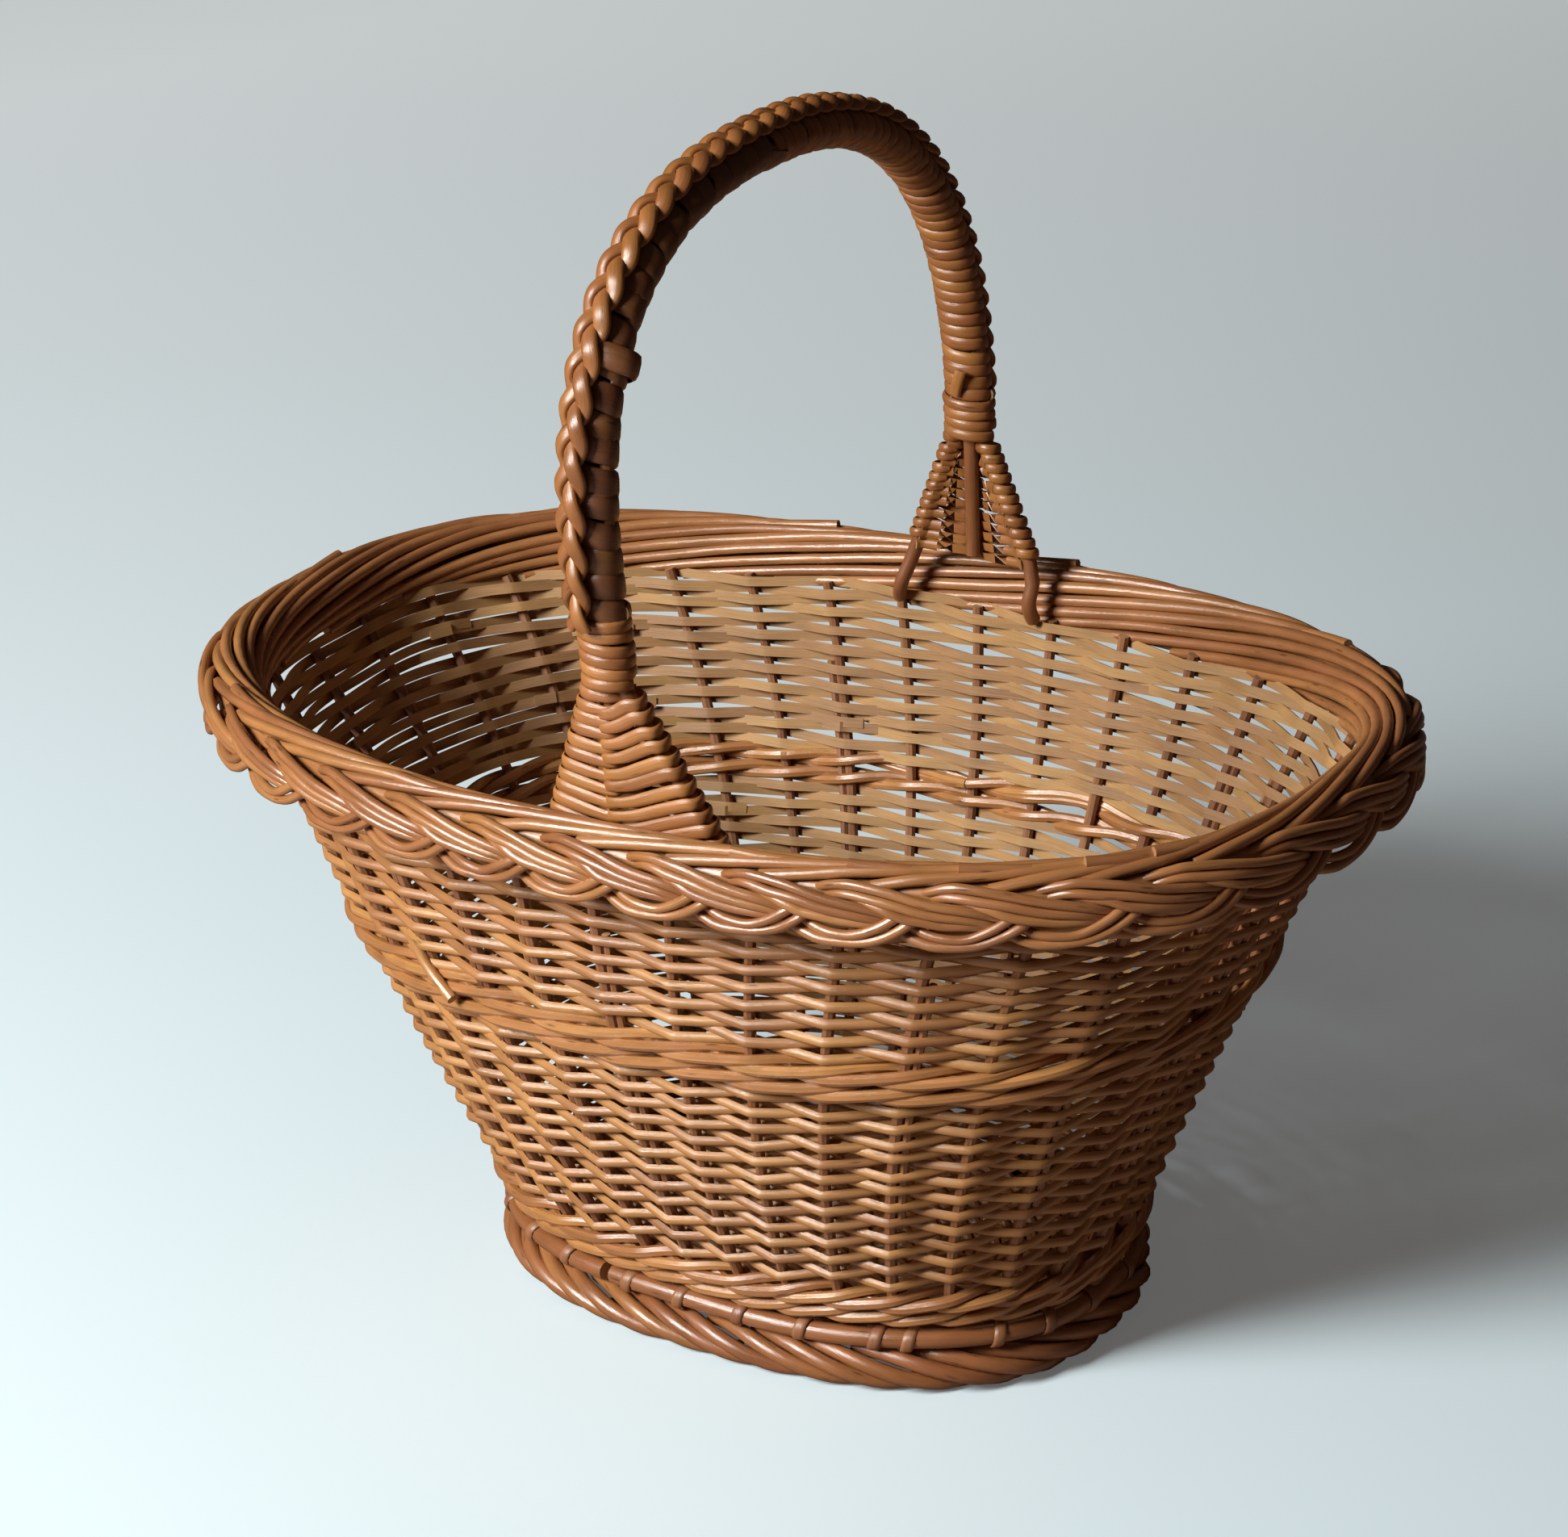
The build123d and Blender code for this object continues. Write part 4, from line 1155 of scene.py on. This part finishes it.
def bind_fan(bundle, front, left_reach, right_reach, top_z, low_z, fullness):
    """Skein bound in figures of eight: over the outside of the middle rod and round each splayed rod."""
    s = sizes("handle")
    high_z = top_z - 0.002
    pitch = (high_z - low_z) / s.fan_rows
    offset = 2 * s.rod_radius
    mid_x = s.shift - front * s.twist
    for row in range(s.fan_rows):
        down = row / s.fan_rows
        for side, reach, other in ((-1, left_reach, right_reach), (1, right_reach, left_reach)):
            z = high_z - pitch * (row + (0.5 if side < 0 else 0.85)) + bundle.rng.normal(0, 0.0003)
            share = float(splay(top_z, z, 1.0))
            x = mid_x + side * (offset + (reach - offset) * share)
            far_x = mid_x - side * (offset + (other - offset) * share)
            y = front * (s.half_span - 0.0014 * share)
            gap = abs(x - mid_x)
            # The rows of one side slant steeply and lie over those of the other
            if side * front < 0:
                knots = fan_row(side, x, mid_x, far_x, z, gap * (0.46 - 0.22 * down), 0.0009)
            else:
                knots = fan_row(side, x, mid_x, far_x, z, gap * (0.02 + 0.14 * down), 0.0002)
            curve = smooth_line(knots * (1, front, 1, 1, front) + (0, y, 0, 0, 0), 3)
            out = np.column_stack([curve[:, 3:], np.zeros(len(curve))])
            width = pitch * fullness * bundle.rng.uniform(0.95, 1.06)
            narrow = 1 - 0.22 * np.exp(-((curve[:, 0] - mid_x) / (0.4 * gap)) ** 2)
            bundle.sweep(curve[:, :3], out, skein_section(width, s.fan_thickness), taper=narrow)


class BASKET_OT_fans(bpy.types.Operator):
    """Bind the splayed rods at the two feet of the handle"""
    bl_idname = "basket.fans"
    bl_label = "Fans"

    def execute(self, context):
        s = sizes("handle")
        near = Bundle(107)
        bind_fan(near, -1, s.near_left, s.near_right, s.collar_low_z, s.near_fan_low_z, 1.04)
        near.gather("near_fan", finish_of("skein"), ["near_fan_skein"], 50)
        # The far fan takes the darker wrap colour, not the near fan's skein colour: painted shade for the
        # fan's shaded inside
        far = Bundle(108)
        bind_fan(far, 1, s.far_splay, s.far_splay, s.far_collar_low_z, s.far_fan_low_z, 0.98)
        far.gather("far_fan", finish_of("wrap"), ["far_fan_skein"], 50)
        return {"FINISHED"}


# Stage

VIEW_AZIMUTH = math.radians(34.564)
VIEW_ELEVATION = math.radians(23.478)
VIEW_ROLL = math.radians(-3.194)
VIEW_DISTANCE = 1.5244
VIEW_TARGET = Vector((0, 0, 0.18))
PHOTO_WIDTH = 1943
PHOTO_HEIGHT = 1904
FOCAL_PIXELS = 5373.6
CENTRE_X = 989.46
CENTRE_Y = 999.87
SENSOR_WIDTH = 36.0
FLOOR_SIZE = 12.0
# What the floor throws back at the basket, and the dim light of the room round it
FLOOR_BOUNCE = (0.29, 0.22, 0.175, 1)
ROOM_LIGHT = (0.0300, 0.0190, 0.0140, 1)
# What the camera sees past the floor, and the tone and least strength of the floor's glow
BACKDROP = (0.44, 0.47, 0.47, 1)
BACKDROP_TONE = (0.96, 1.0, 1.0, 1)
LEAST_GLOW = 0.105
# Where the floor's glow grows: the direction, from where to where along it, and by how much; the first grows
# away from the camera as a pale backdrop, the second grows towards the left as painted light from the lamp's
# side
GLOWS_AND_PAINTED_LIGHT = (((-0.568, 0.823, 0.0), (0.3, 1.9), 0.09), ((-0.95, 0.31, 0.0), (0.1, 1.8), 0.24))
LAMP_PLACE = Vector((-0.78, -1.60, 1.25))
LAMP_TARGET = Vector((0, 0, 0.15))
LAMP_SIZE = 0.7
LAMP_POWER = 60.0
LAMP_TONE = (1.0, 0.985, 0.96)


def lighten_backdrop_and_paint_light(tree, where, camera_ray, shader):
    """Let the camera see the floor grow paler with distance, as a bright backdrop, and paler towards the
    left, as painted light from the lamp's side.
    """
    parts = []
    for direction, reach, strength in GLOWS_AND_PAINTED_LIGHT:
        along = place_node(tree, "ShaderNodeVectorMath", {0: where}, operation="DOT_PRODUCT")
        along.inputs[1].default_value = direction
        parts.append(spread(tree, along.outputs["Value"], reach, (0.0, strength)))
    both = combined(tree, "ADD", parts[0], parts[1])
    whole = place_node(tree, "ShaderNodeMath", {0: both}, operation="ADD")
    whole.inputs[1].default_value = LEAST_GLOW
    seen = combined(tree, "MULTIPLY", whole.outputs["Value"], camera_ray)
    shader.inputs["Emission Color"].default_value = BACKDROP_TONE
    tree.links.new(seen, shader.inputs["Emission Strength"])


def floor_material():
    """A pale matt floor that is paler to the camera than to the basket."""
    material = bpy.data.materials.new("pale_floor")
    material.use_nodes = True
    tree = material.node_tree
    shader = tree.nodes["Principled BSDF"]
    shader.inputs["Roughness"].default_value = 0.75
    shader.inputs["Specular IOR Level"].default_value = 0.2
    where = place_node(tree, "ShaderNodeTexCoord").outputs["Object"]
    noise = place_node(tree, "ShaderNodeTexNoise", {"Vector": where}, Scale=3.0, Detail=2.0)
    tone = sizes("colours").floor
    ramp = place_node(tree, "ShaderNodeMix", {0: noise.outputs["Fac"]}, data_type="RGBA")
    ramp.inputs[6].default_value = (tone[0] * 0.97, tone[1] * 0.97, tone[2] * 0.97, 1)
    ramp.inputs[7].default_value = (*tone, 1)
    camera_ray = place_node(tree, "ShaderNodeLightPath").outputs["Is Camera Ray"]
    bounce = place_node(tree, "ShaderNodeMix", {0: camera_ray, 7: ramp.outputs[2]}, data_type="RGBA")
    bounce.inputs[6].default_value = FLOOR_BOUNCE
    tree.links.new(bounce.outputs[2], shader.inputs["Base Color"])
    # The floor glows to the camera, more so towards the left: painted light from the lamp's side
    lighten_backdrop_and_paint_light(tree, where, camera_ray, shader)
    return material


def room():
    """A world that lights the basket dimly and looks pale to the camera."""
    world = bpy.data.worlds.new("studio")
    world.use_nodes = True
    tree = world.node_tree
    camera_ray = place_node(tree, "ShaderNodeLightPath").outputs["Is Camera Ray"]
    tones = place_node(tree, "ShaderNodeMix", {0: camera_ray}, data_type="RGBA")
    tones.inputs[6].default_value = ROOM_LIGHT
    tones.inputs[7].default_value = BACKDROP
    back = tree.nodes["Background"]
    tree.links.new(tones.outputs[2], back.inputs["Color"])
    back.inputs["Strength"].default_value = 1.0
    return world


def window_lamp():
    """A soft square lamp, high in front and to the left."""
    data = bpy.data.lights.new("window", "AREA")
    data.size = LAMP_SIZE
    data.energy = LAMP_POWER
    data.color = LAMP_TONE
    lamp = bpy.data.objects.new("window", data)
    lamp.location = LAMP_PLACE
    lamp.rotation_euler = (LAMP_TARGET - LAMP_PLACE).to_track_quat("-Z", "Y").to_euler()
    return lamp


def photo_camera():
    """The camera of the photo, with its lens off the middle."""
    back = Vector((math.sin(VIEW_AZIMUTH) * math.cos(VIEW_ELEVATION),
                   -math.cos(VIEW_AZIMUTH) * math.cos(VIEW_ELEVATION), math.sin(VIEW_ELEVATION)))
    level = Vector((0, 0, 1)).cross(back).normalized()
    upright = back.cross(level)
    right = level * math.cos(VIEW_ROLL) + upright * math.sin(VIEW_ROLL)
    up = upright * math.cos(VIEW_ROLL) - level * math.sin(VIEW_ROLL)
    data = bpy.data.cameras.new("photo_view")
    data.sensor_width = SENSOR_WIDTH
    data.lens = FOCAL_PIXELS / PHOTO_WIDTH * data.sensor_width
    data.shift_x = (PHOTO_WIDTH / 2 - CENTRE_X) / PHOTO_WIDTH
    data.shift_y = (CENTRE_Y - PHOTO_HEIGHT / 2) / PHOTO_WIDTH
    camera = bpy.data.objects.new("photo_view", data)
    turn = Matrix((right, up, back)).transposed().to_4x4()
    camera.matrix_world = Matrix.Translation(VIEW_TARGET + back * VIEW_DISTANCE) @ turn
    return camera


class BASKET_OT_stage(bpy.types.Operator):
    """Set the floor, the lamp and the camera"""
    bl_idname = "basket.stage"
    bl_label = "Stage"

    def execute(self, context):
        scene = context.scene
        scene.view_settings.view_transform = "Standard"
        bpy.ops.object.select_all(action="DESELECT")
        bpy.ops.mesh.primitive_plane_add(size=FLOOR_SIZE)
        floor = context.active_object
        floor.name = "floor"
        floor.data.materials.append(floor_material())
        scene.world = room()
        context.collection.objects.link(window_lamp())
        camera = photo_camera()
        context.collection.objects.link(camera)
        scene.camera = camera
        return {"FINISHED"}


OPERATORS = (
    BASKET_OT_stakes, BASKET_OT_lower_weave, BASKET_OT_upper_weave, BASKET_OT_wales,
    BASKET_OT_border_plait, BASKET_OT_border_tails, BASKET_OT_foot, BASKET_OT_hoop, BASKET_OT_base,
    BASKET_OT_handle_rods, BASKET_OT_handle_wrap, BASKET_OT_handle_braid, BASKET_OT_fans,
    BASKET_OT_stage,
)


class BASKET_PT_panel(bpy.types.Panel):
    """List the pieces of the basket"""
    bl_idname = "BASKET_PT_panel"
    bl_label = "Willow Basket"
    bl_space_type = "VIEW_3D"
    bl_region_type = "UI"
    bl_category = "Basket"

    def draw(self, context):
        for operator in OPERATORS:
            self.layout.operator(operator.bl_idname)


def register():
    for group in GROUPS.values():
        bpy.utils.register_class(group)
    for name, group in GROUPS.items():
        setattr(bpy.types.Scene, "basket_" + name, bpy.props.PointerProperty(type=group))
    for operator in OPERATORS:
        bpy.utils.register_class(operator)
    bpy.utils.register_class(BASKET_PT_panel)


def unregister():
    bpy.utils.unregister_class(BASKET_PT_panel)
    for operator in reversed(OPERATORS):
        bpy.utils.unregister_class(operator)
    for name, group in GROUPS.items():
        delattr(bpy.types.Scene, "basket_" + name)
        bpy.utils.unregister_class(group)


def main():
    register()
    bpy.ops.basket.stakes()
    bpy.ops.basket.lower_weave()
    bpy.ops.basket.upper_weave()
    bpy.ops.basket.wales()
    bpy.ops.basket.border_plait()
    bpy.ops.basket.border_tails()
    bpy.ops.basket.foot()
    bpy.ops.basket.hoop()
    bpy.ops.basket.base()
    bpy.ops.basket.handle_rods()
    bpy.ops.basket.handle_wrap()
    bpy.ops.basket.handle_braid()
    bpy.ops.basket.fans()
    bpy.ops.basket.stage()


if __name__ == "__main__":
    main()
